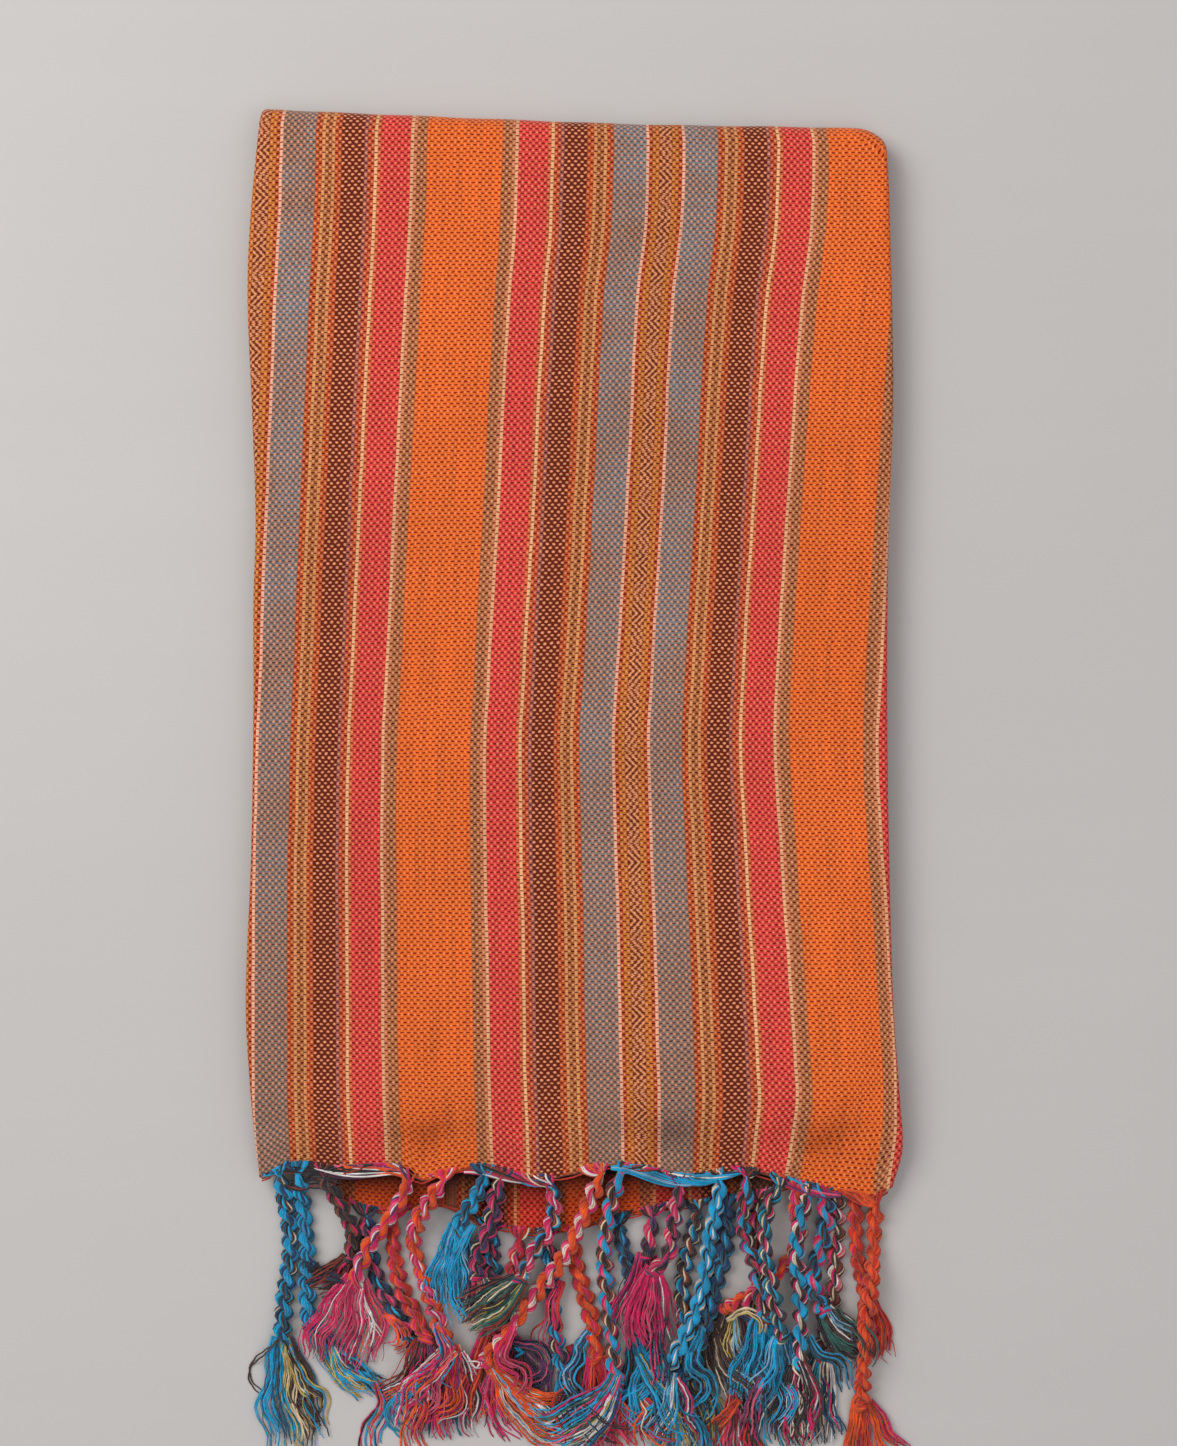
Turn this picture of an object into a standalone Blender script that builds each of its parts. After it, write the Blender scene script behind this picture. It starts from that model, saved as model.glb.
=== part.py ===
"""Folded hand-woven scarf, lying flat with both of its fringed ends together at -Y.

The cloth is 0.70 m by 1.54 m. It is folded in three across its width, then in half twice along
its length, so the outer cloth rolls over the left fold, the right fold and the top fold at +Y.
The frame is +Z up, in metres, with the origin under the middle of the whole scarf.
Tables are in millimetres and are turned into metres where a shape is made.
"""

import math

import bmesh
import bpy
from mathutils import Vector
from mathutils.kdtree import KDTree

MM = 0.001

# Cloth and folds, in millimetres
WALL = 1.1  # the cloth's thickness, with its nap
GAP = 0.3  # kept between pieces that touch
PASS = 3.3  # one pass of the cloth folded in three
PASS_COUNT = 4
STACK = PASS * PASS_COUNT
FOLD_RADIUS = STACK / 2  # the top fold goes round the whole stack
ROLL_RADIUS = PASS / 2  # the side folds go round one pass
TUCK = 3.0  # how far the cloth goes back in under a side fold
WRAP_END = math.radians(165)  # the outer cloth stops here, just above the floor
TIP_CLEARANCE = 0.4  # between the lowest strand and the floor
LAYER_GAP = 0.4  # kept between the layers near the hems, where they bend both ways
LEFT_MEAN = -115.0  # about where the left and right folds lie, to look up a row's y with
RIGHT_MEAN = 113.0

# The outline seen from above: x of the left and right folds at each y
LEFT_FOLD = (
    (-136, -114.0), (-129, -114.5), (-99, -117.0), (-70, -118.4), (-16, -116.4), (38, -115.6),
    (74, -115.6), (103, -114.8), (146, -116.3), (182, -117.7), (207, -117.0), (236, -114.5),
    (252, -112.6),
)
RIGHT_FOLD = (
    (-137, 115.0), (-124, 118.1), (-106, 117.0), (-70, 114.5), (-16, 113.0), (38, 112.3),
    (89, 112.7), (146, 114.5), (207, 113.4), (232, 112.4), (244, 110.6),
)

# The top fold and the two hems: y at each x
TOP_FOLD = (
    (-118, 250.4), (-112, 251.4), (-95, 250.6), (-27, 247.8), (23, 246.0), (80, 245.0),
    (100, 244.6), (107, 243.6), (113, 239.6), (118, 234.0),
)
FRONT_HEM = (
    (-119, -134.0), (-112, -134.2), (-103, -129.4), (-85, -131.0), (-63, -130.4), (-56, -135.0),
    (-48, -132.8), (-34, -130.4), (-13, -134.4), (16, -129.4), (41, -134.4), (59, -131.2),
    (85, -137.4), (99, -140.0), (108, -141.6), (113, -138.4), (119, -135.4),
)
UNDER_HEM = (
    (-92, -134.0), (-83, -143.0), (-67, -147.0), (-49, -144.0), (-29, -152.4), (-9, -154.6),
    (9, -150.8), (31, -145.6), (45, -143.8), (67, -140.2), (88, -135.4), (110, -131.0),
)
UNDER_LEFT = -90.0
UNDER_RIGHT = 107.0
UNDER_START = -98.0  # the y where the other end comes out of the hidden layers
UNDER_ROLL_RADIUS = 1.15
UNDER_TUCK = 2.0
HIDDEN_END = -118.0  # the lower edge of the hidden layers
HIDDEN_ROUND = 5.0  # the hidden layers' lower edge is this far rounded

# Height of each cloth's upper face as it goes down over the hidden layers to its hem
FRONT_FALL = (
    (-146, 6.6), (-138, 7.2), (-130, 8.6), (-122, 10.7), (-112, 12.4), (-100, 13.1), (-80, STACK),
)
UNDER_FALL = (
    (-158, 3.0), (-150, 3.4), (-140, 4.3), (-132, 5.4), (-124, 6.9), (-116, 8.8), (-104, 11.0),
)

# Soft hollows (below nought) and swells of the upper face: centre, half sizes, height
SWELLS = (
    # x, y, half_x, half_y, height
    (-52, -119, 15, 9, -1.3),
    (-84, -112, 18, 12, 0.5),
    (-6, -116, 22, 10, 0.6),
    (38, -119, 20, 9, -1.5),
    (66, -114, 14, 10, 0.5),
    (92, -122, 12, 10, -1.4),
    (-72, 40, 34, 90, -0.4),
    (28, 150, 30, 80, -0.45),
    (60, 0, 36, 70, 0.3),
    (0, -60, 40, 40, 0.25),
)

# The three passes under the outer one: how far each fold stands in from the outline
HIDDEN_PASSES = (
    # left, right
    (1.2, 0.7),
    (0.3, 1.8),
    (1.5, 0.4),
)
GROOVE = 1.2  # depth of the groove between two folded edges
TONGUE = 5.4  # the hidden layers stand this far in from the outline inside the outer pass
FOLD_PROFILE = ((0.2, 0.22), (0.0, 0.5), (0.2, 0.78))  # (inset, height) round one folded edge

# How the ends of the hidden layers and of their folded edges are rounded, in degrees
CORE_TURNS = (80, 62, 42, 20)
EDGE_START_TURNS = (76, 50, 24)
EDGE_NOSE_TURNS = (4, 35, 66)

# Each fringe: a strip of gathered yarn along the hem, twisted cords, knots and loose locks
STRIP_RADIUS = 1.15
STRIP_OFFSET = 1.75  # from the hem to the strip's middle
ROOT_RADIUS = 1.0  # a cord's, inside the strip
CORD_RADIUS = 2.3
KNOT_RADIUS = 3.2
LOCK_RADIUS = 1.2
LOCKS_PER_TASSEL = 4
CORD_RINGS = 9
LOCK_RINGS = 4
LOCK_ROOT_DEPTH = 0.8  # the locks start this far inside the knot
LOCK_ROOT_SPREAD = 1.5 * KNOT_RADIUS  # and across this width of it
LOCK_STAGGER = 0.12  # the outer locks are this share shorter, every other one twice that
LOCK_LEAD = 0.12  # the share of its length that a lock still runs on in the cord's direction
LOCK_EARLY_FAN = 0.25  # the share of the spread that the locks have halfway
LOCK_PLACES = (0.0, 0.4, 0.75, 1.0)  # where along it a lock's radius is set
LOCK_FILL = 0.42  # a lock's radius as a share of the room between two of them
LOCK_TAPER = 0.6  # of the radius, at the tip

# Cords of the upper end, in the order in which they lie on each other: where each leaves the
# hem, two places on its way, its knot, the end of its tassel and how wide that is
FRONT_CORDS = (
    # root_x, x1, y1, x2, y2, knot_x, knot_y, tip_x, tip_y, spread
    (-106, -103, -158, -105, -178, -106, -193, -100, -236, 18),
    (-100, -97, -160, -97, -176, -96, -188, -69, -213, 8),
    (-91, -83, -147, -80, -155, -81, -164, -93, -178, 8),
    (-59, -67, -149, -75, -160, -79, -171, -83, -204, 24),
    (-47, -58, -154, -54, -174, -45, -196, -59, -223, 18),
    (-32, -36, -142, -40, -147, -42, -152, -45, -182, 10),
    (-27, -31, -153, -35, -161, -35, -171, -33, -186, 8),
    (-8, -8, -150, -16, -163, -20, -171, -42, -185, 10),
    (10, -3, -161, -21, -185, -32, -200, 0, -224, 7),
    (16, 11, -156, 12, -181, 15, -208, -11, -233, 10),
    (38, 36, -149, 34, -161, 28, -168, 29, -197, 17),
    (53, 49, -156, 45, -178, 33, -204, 23, -228, 13),
    (79, 81, -158, 71, -171, 56, -182, 63, -211, 14),
    (62, 61, -153, 65, -165, 68, -184, 62, -215, 12),
    (74, 69, -147, 69, -164, 75, -191, 70, -220, 13),
    (84, 80, -156, 81, -174, 81, -202, 75, -232, 12),
    (91, 90, -156, 86, -172, 90, -182, 103, -202, 9),
    (109, 108, -160, 105, -189, 104, -216, 112, -243, 13),
)

# Cords of the other end, which lie under the upper end's
UNDER_CORDS = (
    # root_x, x1, y1, x2, y2, knot_x, knot_y, tip_x, tip_y, spread
    (-76, -73, -167, -67, -180, -54, -202, -49, -230, 15),
    (-65, -66, -157, -63, -174, -54, -192, -62, -219, 13),
    (-29, -30, -163, -27, -181, -20, -199, -18, -221, 14),
    (-20, -21, -164, -25, -178, -29, -190, -38, -225, 14),
    (-10, -8, -174, -7, -192, -3, -208, 4, -232, 12),
    (-1, 1, -168, 6, -186, 8, -200, 14, -237, 13),
    (16, 17, -158, 21, -174, 23, -190, 29, -225, 14),
    (28, 28, -151, 27, -157, 26, -163, 21, -192, 9),
    (45, 42, -158, 39, -174, 40, -194, 43, -229, 12),
    (55, 54, -163, 46, -189, 36, -213, 46, -251, 16),
    (66, 67, -178, 62, -199, 59, -214, 63, -247, 12),
    (95, 94, -174, 91, -190, 89, -199, 83, -234, 13),
    (102, 102, -160, 104, -171, 106, -180, 111, -203, 9),
)
CLIMB = 0.55  # the steepest that a strand rises over another
STRAND_CLEARANCE = 0.8
FINE_STEP = 1.5  # strands are compared at places this far apart
SEARCH_REACH = 9.0  # farther than any two strands that touch
FAR_AWAY = 1000.0
NEAR_SHARE = 0.4  # of the way to the next ring, in which a ring's height counts
UNDER_LEDGE = 5.0  # strands are still held up by the other end's cloth this far past its hem
UNDER_MARGIN = 3.0  # and this far past its sides
UNDER_CLEARANCE = 1.6  # above that cloth, which clears the strip along its hem too
SPLINE_STEPS = 12

# Rows and columns of the cloth meshes
PANEL_COLUMNS = 18
PANEL_ROWS = 22
PANEL_CROWDING = 0.65  # rows lie closer near the hem, where the cloth falls
ROLL_STEPS = 4
WRAP_STEPS = 6
UNDER_ROWS = 7
UNDER_COLUMNS = 14
UNDER_ROLL_STEPS = 3
HIDDEN_COLUMNS = 12
SIDE_SPOTS = tuple(range(-112, 113, 28))  # the x at which the cloths above are measured
# Rows of the hidden layers, as shares of their straight length, close where the other end starts
HIDDEN_ROWS = (
    0.0, 0.018, 0.034, 0.0425, 0.0465, 0.07, 0.11, 0.19, 0.29, 0.4, 0.51, 0.62, 0.73, 0.84, 0.93, 1.0,
)


def smooth_value(rows, place):
    """The value at a place on the smooth curve through (place, value) rows."""
    if place <= rows[0][0]:
        return rows[0][1]
    if place >= rows[-1][0]:
        return rows[-1][1]
    index = next(i for i in range(len(rows) - 1) if place <= rows[i + 1][0])
    slopes = []
    for i in (index, index + 1):
        before = rows[max(i - 1, 0)]
        after = rows[min(i + 1, len(rows) - 1)]
        slopes.append((after[1] - before[1]) / (after[0] - before[0]))
    (x0, y0), (x1, y1) = rows[index], rows[index + 1]
    step = x1 - x0
    t = (place - x0) / step
    return (
        (1 + 2 * t) * (1 - t) ** 2 * y0
        + t * (1 - t) ** 2 * step * slopes[0]
        + t * t * (3 - 2 * t) * y1
        + t * t * (t - 1) * step * slopes[1]
    )


def swell(x, y):
    """How far the soft hollows and swells move the upper face at (x, y)."""
    total = 0.0
    for centre_x, centre_y, half_x, half_y, height in SWELLS:
        far = ((x - centre_x) / half_x) ** 2 + ((y - centre_y) / half_y) ** 2
        total += height * math.exp(-far)
    return total


def front_height(x, y):
    """The outer cloth's upper face."""
    return smooth_value(FRONT_FALL, y) + swell(x, y)


def under_height(x, y):
    """The upper face of the other end, which follows the outer cloth and then falls below it."""
    beneath_front = front_height(x, y) - WALL - LAYER_GAP
    return min(beneath_front, smooth_value(UNDER_FALL, y))


def hidden_height(x, y):
    """The upper face of the hidden layers, below whichever cloth lies on them."""
    if y < UNDER_START + 2:
        return under_height(x, y) - 2 * UNDER_ROLL_RADIUS - LAYER_GAP
    return front_height(x, y) - WALL - GAP


def wrap_start(x):
    """The y where the outer cloth starts to go round the top fold."""
    return smooth_value(TOP_FOLD, x) - FOLD_RADIUS


def rolled_section(radius, tuck, columns, steps):
    """(place, inset, depth) across a cloth whose two sides roll under.

    place runs from 0 at the left roll's start to 1 at the right one's, inset is how far the point
    lies outside that span, and depth is how far below the upper face.
    """
    roll = []
    for i in range(1, steps + 1):
        turn = math.pi * i / steps
        roll.append((radius * math.sin(turn), radius * (1 - math.cos(turn))))
    roll.append((-tuck, 2 * radius))
    section = [(0.0, -out, depth) for out, depth in reversed(roll)]
    section += [(i / columns, 0.0, 0.0) for i in range(columns + 1)]
    section += [(1.0, out, depth) for out, depth in roll]
    return section


def sheet_mesh(name, rows):
    """An open grid laid through rows of points in millimetres, its faces upwards."""
    mesh = bpy.data.meshes.new(name)
    grid = bmesh.new()
    bmesh.ops.create_grid(grid, x_segments=len(rows[0]) - 1, y_segments=len(rows) - 1, size=1)
    grid.verts.ensure_lookup_table()
    points = [point for row in rows for point in row]
    for made, point in zip(grid.verts, points):
        made.co = Vector(point) * MM
    grid.to_mesh(mesh)
    grid.free()
    return mesh


def tube_mesh(name, points, radii):
    """A closed four-sided tube along points in millimetres, with a radius at each."""
    curve = bpy.data.curves.new(name, "CURVE")
    curve.dimensions = "3D"
    curve.twist_mode = "Z_UP"
    curve.bevel_depth = MM
    curve.bevel_resolution = 0
    curve.use_fill_caps = True
    spline = curve.splines.new("POLY")
    spline.points.add(len(points) - 1)
    for made, point, radius in zip(spline.points, points, radii):
        made.co = (*(Vector(point) * MM), 1)
        made.radius = radius
    guide = bpy.data.objects.new(name, curve)
    bpy.context.scene.collection.objects.link(guide)
    evaluated = guide.evaluated_get(bpy.context.evaluated_depsgraph_get())
    mesh = bpy.data.meshes.new_from_object(evaluated)
    bpy.data.objects.remove(guide)
    solid = bmesh.new()
    solid.from_mesh(mesh)
    bmesh.ops.remove_doubles(solid, verts=solid.verts, dist=0.00001)
    bmesh.ops.recalc_face_normals(solid, faces=solid.faces)
    solid.to_mesh(mesh)
    solid.free()
    return mesh


def loft_mesh(name, sections):
    """A closed mesh through loops of points in millimetres, capped at both ends."""
    mesh = bpy.data.meshes.new(name)
    solid = bmesh.new()
    loops = [[solid.verts.new(Vector(point) * MM) for point in loop] for loop in sections]
    for lower, upper in zip(loops, loops[1:]):
        count = len(lower)
        for i in range(count):
            j = (i + 1) % count
            solid.faces.new((lower[i], lower[j], upper[j], upper[i]))
    solid.faces.new(list(reversed(loops[0])))
    solid.faces.new(loops[-1])
    bmesh.ops.recalc_face_normals(solid, faces=solid.faces)
    solid.to_mesh(mesh)
    solid.free()
    return mesh


def material(name, color, roughness):
    """A plain cloth or yarn finish."""
    made = bpy.data.materials.new(name)
    made.use_nodes = True
    shader = made.node_tree.nodes["Principled BSDF"]
    shader.inputs["Base Color"].default_value = (*color, 1)
    shader.inputs["Roughness"].default_value = roughness
    shader.inputs["Metallic"].default_value = 0
    return made


def add_object(name, mesh, collection, finish=None):
    """An object of the mesh in the collection, with its finish."""
    made = bpy.data.objects.new(name, mesh)
    collection.objects.link(made)
    if finish:
        mesh.materials.append(finish)
    return made


def thicken(cloth):
    """Gives an open sheet the cloth's thickness on its inner side."""
    wall = cloth.modifiers.new("Cloth thickness", "SOLIDIFY")
    wall.thickness = WALL * MM
    wall.offset = -1
    wall.use_even_offset = True


def join(base, others):
    """Makes one solid of the base and every object in the collection others."""
    union = base.modifiers.new("Join", "BOOLEAN")
    union.operation = "UNION"
    union.operand_type = "COLLECTION"
    union.collection = others
    union.solver = "EXACT"


def panel_rows():
    """The outer cloth's rows, from its hem up and round the top fold."""
    section = rolled_section(ROLL_RADIUS, TUCK, PANEL_COLUMNS, ROLL_STEPS)
    rows = []
    for j in range(PANEL_ROWS + 1):
        share = j / PANEL_ROWS
        rise = share * (1 - PANEL_CROWDING + PANEL_CROWDING * share)
        row = []
        for place, out, depth in section:
            x_guess = LEFT_MEAN + place * (RIGHT_MEAN - LEFT_MEAN) + out
            y = smooth_value(FRONT_HEM, x_guess)
            y += rise * (wrap_start(x_guess) - y)
            left = smooth_value(LEFT_FOLD, y) + ROLL_RADIUS
            right = smooth_value(RIGHT_FOLD, y) - ROLL_RADIUS
            x = left + place * (right - left)
            row.append((x + out, y, front_height(x, y) - depth))
        rows.append(row)
    for j in range(1, WRAP_STEPS + 1):
        turn = WRAP_END * j / WRAP_STEPS
        row = []
        for (place, out, depth), (x, y, _) in zip(section, rows[PANEL_ROWS]):
            reach = FOLD_RADIUS - depth
            top = smooth_value(TOP_FOLD, x) - FOLD_RADIUS
            left = smooth_value(LEFT_FOLD, y + reach * math.sin(turn)) + ROLL_RADIUS
            right = smooth_value(RIGHT_FOLD, y + reach * math.sin(turn)) - ROLL_RADIUS
            x = left + place * (right - left) + out
            row.append((x, top + reach * math.sin(turn), FOLD_RADIUS + reach * math.cos(turn)))
        rows.append(row)
    return rows


def under_rows():
    """The other end's rows, from its hem up to where it comes out of the hidden layers."""
    section = rolled_section(UNDER_ROLL_RADIUS, UNDER_TUCK, UNDER_COLUMNS, UNDER_ROLL_STEPS)
    width = UNDER_RIGHT - UNDER_LEFT
    rows = []
    for j in range(UNDER_ROWS + 1):
        rise = j / UNDER_ROWS
        row = []
        for place, out, depth in section:
            x = UNDER_LEFT + place * width
            y = smooth_value(UNDER_HEM, x)
            y += rise * (UNDER_START - y)
            row.append((x + out, y, under_height(x, y) - depth))
        rows.append(row)
    return rows


def hidden_core_sections():
    """The middle of the hidden layers, with both ends rounded."""
    nose = FOLD_RADIUS - WALL - GAP
    turns = [math.radians(turn) for turn in CORE_TURNS]
    sections = []
    for turn in turns:
        sections.append(hidden_core_loop(0.0, -HIDDEN_ROUND * math.sin(turn), math.cos(turn), None))
    for along in HIDDEN_ROWS:
        sections.append(hidden_core_loop(along, 0.0, 1.0, None))
    for turn in reversed(turns):
        sections.append(hidden_core_loop(1.0, nose * math.sin(turn), 1.0, nose * math.cos(turn)))
    return sections


def hidden_core_loop(along, past, shrink, half_height):
    """A loop round the hidden layers, past millimetres beyond a share of their straight part.

    It fills a share, shrink, of the height below the outer cloth, or where half_height is given,
    that much above and below the middle of the stack.
    """
    upper = []
    lower = []
    for i in range(HIDDEN_COLUMNS + 1):
        place = i / HIDDEN_COLUMNS
        y = along_hidden(along, LEFT_MEAN + place * (RIGHT_MEAN - LEFT_MEAN)) + past
        left = smooth_value(LEFT_FOLD, y) + TONGUE
        right = smooth_value(RIGHT_FOLD, y) - TONGUE
        x = left + place * (right - left)
        middle, half = FOLD_RADIUS, half_height
        if half is None:
            middle = hidden_height(x, y) / 2
            half = shrink * middle
        upper.append((x, y, middle + half))
        lower.append((x, y, middle - half))
    return upper + lower[::-1]


def along_hidden(along, x):
    """The y at a share of the way up the straight part of the hidden layers."""
    start = HIDDEN_END + HIDDEN_ROUND
    return start + along * (wrap_start(x) - GAP - start)


def folded_edge(insets):
    """(inset, height) up the folded edges of the hidden passes, its height from 0 to 1."""
    edge = [(insets[0] + GROOVE, 0.0)]
    for index, inset in enumerate(insets):
        above = insets[min(index + 1, len(insets) - 1)]
        for bulge, rise in FOLD_PROFILE:
            edge.append((inset + bulge, index + rise))
        edge.append((max(inset, above) + GROOVE, index + 1.0))
    return [(inset, rise / len(insets)) for inset, rise in edge]


def hidden_side_loop(y_of, low_of, high_of):
    """A loop with the folded edges of the hidden passes on both sides."""
    right = folded_edge([right for _, right in HIDDEN_PASSES])
    left = folded_edge([left for left, _ in HIDDEN_PASSES])
    loop = []
    edges = ((right, RIGHT_FOLD, -1, RIGHT_MEAN), (left, LEFT_FOLD, 1, LEFT_MEAN))
    for edge, table, sign, x_mean in edges:
        y = y_of(x_mean)
        low, high = low_of(y), high_of(y)
        side = [
            (smooth_value(table, y) + sign * inset, y, low + rise * (high - low))
            for inset, rise in edge
        ]
        loop += side if sign < 0 else reversed(side)
    return loop


def side_top(y):
    """The top of the hidden folded edges, under the side rolls and the cloths at this y."""
    lowest = min(hidden_height(x, y) for x in SIDE_SPOTS) - GAP
    rolled = min(front_height(x, y) for x in (SIDE_SPOTS[0], SIDE_SPOTS[-1])) - PASS - 2 * GAP
    return min(PASS * (PASS_COUNT - 1) - GAP, lowest, rolled)


def hidden_side_sections():
    """The folded edges of the hidden passes, from the lower edge up to the top fold."""
    nose = FOLD_RADIUS - PASS - GAP
    sections = []
    for turn in EDGE_START_TURNS:
        shrink = math.cos(math.radians(turn))
        y = HIDDEN_END + HIDDEN_ROUND * (1 - math.sin(math.radians(turn)))
        sections.append(
            hidden_side_loop(
                lambda x, y=y: y,
                lambda y, shrink=shrink: side_top(y) / 2 * (1 - shrink),
                lambda y, shrink=shrink: side_top(y) / 2 * (1 + shrink),
            )
        )
    for along in HIDDEN_ROWS:
        sections.append(
            hidden_side_loop(
                lambda x, along=along: along_hidden(along, x),
                lambda y: 0.0,
                side_top,
            )
        )
    for turn in EDGE_NOSE_TURNS:
        half = nose * math.cos(math.radians(turn))
        past = nose * math.sin(math.radians(turn))
        sections.append(
            hidden_side_loop(
                lambda x, past=past: wrap_start(x) + past,
                lambda y, half=half: FOLD_RADIUS - half,
                lambda y, half=half: FOLD_RADIUS + half,
            )
        )
    return sections


def hem_line(row, roll_steps):
    """The points of a cloth's hem row between its side rolls."""
    return row[roll_steps + 1 : len(row) - roll_steps - 1]


def strip_middle(hem, x):
    """(y, z) of the middle of the strip that runs just outside a hem."""
    index = next((i for i in range(len(hem) - 1) if x <= hem[i + 1][0]), len(hem) - 2)
    one, other = hem[index], hem[index + 1]
    t = (x - one[0]) / (other[0] - one[0])
    y = one[1] + (other[1] - one[1]) * t - STRIP_OFFSET
    return y, one[2] + (other[2] - one[2]) * t - WALL / 2


def strip_mesh(name, hem):
    """The narrow strip of gathered yarn that lies just outside a hem."""
    middle = [(x, *strip_middle(hem, x)) for x, _, _ in hem]
    return tube_mesh(name, middle, [STRIP_RADIUS] * len(middle))


def through(points, count):
    """Evenly spread points on a smooth curve through flat points, each a Vector of x and y."""
    ends = [2 * points[0] - points[1], *points, 2 * points[-1] - points[-2]]
    dense = []
    for i in range(1, len(ends) - 2):
        a, b, c, d = ends[i - 1 : i + 3]
        for k in range(SPLINE_STEPS):
            t = k / SPLINE_STEPS
            dense.append(
                0.5
                * (
                    2 * b
                    + (c - a) * t
                    + (2 * a - 5 * b + 4 * c - d) * t * t
                    + (3 * b - a - 3 * c + d) * t**3
                )
            )
    dense.append(points[-1])
    lengths = [0.0]
    for one, other in zip(dense, dense[1:]):
        lengths.append(lengths[-1] + (other - one).length)
    spread = []
    index = 0
    for k in range(count):
        goal = lengths[-1] * k / (count - 1)
        while index < len(dense) - 2 and lengths[index + 1] < goal:
            index += 1
        share = (goal - lengths[index]) / (lengths[index + 1] - lengths[index])
        spread.append(dense[index].lerp(dense[index + 1], share))
    return spread


class Strand:
    """One cord or one lock of a tassel: its flat route, its radius along it and its heights."""

    def __init__(self, route, radii):
        self.route = route
        self.radii = radii
        self.heights = []


def cord_strand(row, root_y):
    """The twisted cord of a table row, from inside the strip to its knot."""
    root_x, x1, y1, x2, y2, knot_x, knot_y, _, _, _ = row
    places = ((root_x, root_y), (x1, y1), (x2, y2), (knot_x, knot_y))
    route = through([Vector(place) for place in places], CORD_RINGS)
    radii = [CORD_RADIUS] * CORD_RINGS
    radii[0] = ROOT_RADIUS
    radii[-2] = (CORD_RADIUS + KNOT_RADIUS) / 2
    radii[-1] = KNOT_RADIUS
    return Strand(route, radii)


def lock_strands(row, cord):
    """The locks that fan out of a cord's knot."""
    *_, tip_x, tip_y, spread = row
    knot = cord.route[-1]
    tip = Vector((tip_x, tip_y))
    heading = (tip - knot).normalized()
    leaving = (knot - cord.route[-2]).normalized()
    across = Vector((-heading.y, heading.x))
    root_across = Vector((-leaving.y, leaving.x))
    length = (tip - knot).length
    widths = [LOCK_ROOT_SPREAD * (1 - t) + spread * t for t in LOCK_PLACES]
    radii = [min(LOCK_RADIUS, LOCK_FILL * width / (LOCKS_PER_TASSEL - 1)) for width in widths]
    radii[-1] *= LOCK_TAPER
    strands = []
    for i in range(LOCKS_PER_TASSEL):
        side = i / (LOCKS_PER_TASSEL - 1) - 0.5
        shorter = LOCK_STAGGER * length * abs(side) * (1 + i % 2)
        root = knot - leaving * LOCK_ROOT_DEPTH + root_across * side * LOCK_ROOT_SPREAD
        end = tip + across * side * spread - heading * shorter
        middle = (root + end) / 2 + leaving * LOCK_LEAD * length
        middle += across * side * LOCK_EARLY_FAN * spread
        strands.append(Strand(through([root, middle, end], LOCK_RINGS), radii))
    return strands


class Tassel:
    """One cord of a fringe with the locks that fan out of its knot."""

    def __init__(self, row, hem, floor):
        root_y, self.root_height = strip_middle(hem, row[0])
        self.cord = cord_strand(row, root_y)
        self.locks = lock_strands(row, self.cord)
        self.floor = floor


def fine_route(strand):
    """(place, radius, distance) about every FINE_STEP along a strand."""
    fine = []
    passed = 0.0
    for i in range(len(strand.route) - 1):
        one, other = strand.route[i], strand.route[i + 1]
        length = (other - one).length
        steps = max(2, math.ceil(length / FINE_STEP))
        for k in range(steps):
            t = k / steps
            radius = strand.radii[i] + (strand.radii[i + 1] - strand.radii[i]) * t
            fine.append((one.lerp(other, t), radius, passed + length * t))
        passed += length
    fine.append((strand.route[-1], strand.radii[-1], passed))
    return fine


def settle(tassels):
    """Lays the tassels on the floor, on the cloth and on each other, in order.

    Each strand is held clear of what lies under it and rises no steeper than CLIMB. A cord and
    its locks share the knot's height.
    """
    laid = []
    for tassel in tassels:
        tree = KDTree(len(laid) + 1)
        tree.insert((0, FAR_AWAY, 0), 0)
        for index, (place, _, _) in enumerate(laid):
            tree.insert((place.x, place.y, 0), index + 1)
        tree.balance()
        fines = [fine_route(strand) for strand in (tassel.cord, *tassel.locks)]
        needs = [
            [lowest_height(place, radius, tassel.floor, laid, tree) for place, radius, _ in fine]
            for fine in fines
        ]
        cord_length = fines[0][-1][2]
        knot_height = max(n - CLIMB * (cord_length - f[2]) for n, f in zip(needs[0], fines[0]))
        for fine, need in zip(fines[1:], needs[1:]):
            knot_height = max(knot_height, max(n - CLIMB * f[2] for n, f in zip(need, fine)))
        ends = [[(0.0, tassel.root_height), (cord_length, knot_height)]]
        ends += [[(0.0, knot_height)]] * len(tassel.locks)
        for strand, fine, need, fixed in zip((tassel.cord, *tassel.locks), fines, needs, ends):
            samples = [(f[2], n) for n, f in zip(need, fine)] + fixed
            heights = [
                max(n - CLIMB * abs(here - there) for there, n in samples) for _, _, here in fine
            ]
            laid += [(place, radius, h) for (place, radius, _), h in zip(fine, heights)]
            strand.heights = route_heights(strand, fine, heights)
        tassel.cord.heights[0] = tassel.root_height
        for lock in tassel.locks:
            lock.heights[0] = tassel.cord.heights[-1]


def lowest_height(place, radius, floor, laid, tree):
    """The lowest that a strand's middle can lie at a place, over what is already laid."""
    need = max(radius + TIP_CLEARANCE, floor(place, radius))
    for _, index, far in tree.find_range((place.x, place.y, 0), SEARCH_REACH):
        _, other_radius, other_height = laid[index - 1]
        reach = radius + other_radius + STRAND_CLEARANCE
        if far < reach:
            need = max(need, other_height + math.sqrt(reach**2 - far**2))
    return need


def route_heights(strand, fine, heights):
    """The height at each point of a strand's route, the highest of those close to it."""
    near = NEAR_SHARE * fine[-1][2] / (len(strand.route) - 1)
    passed = 0.0
    found = []
    for i, place in enumerate(strand.route):
        if i:
            passed += (place - strand.route[i - 1]).length
        found.append(max(h for h, f in zip(heights, fine) if abs(f[2] - passed) <= near))
    return found


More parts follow.
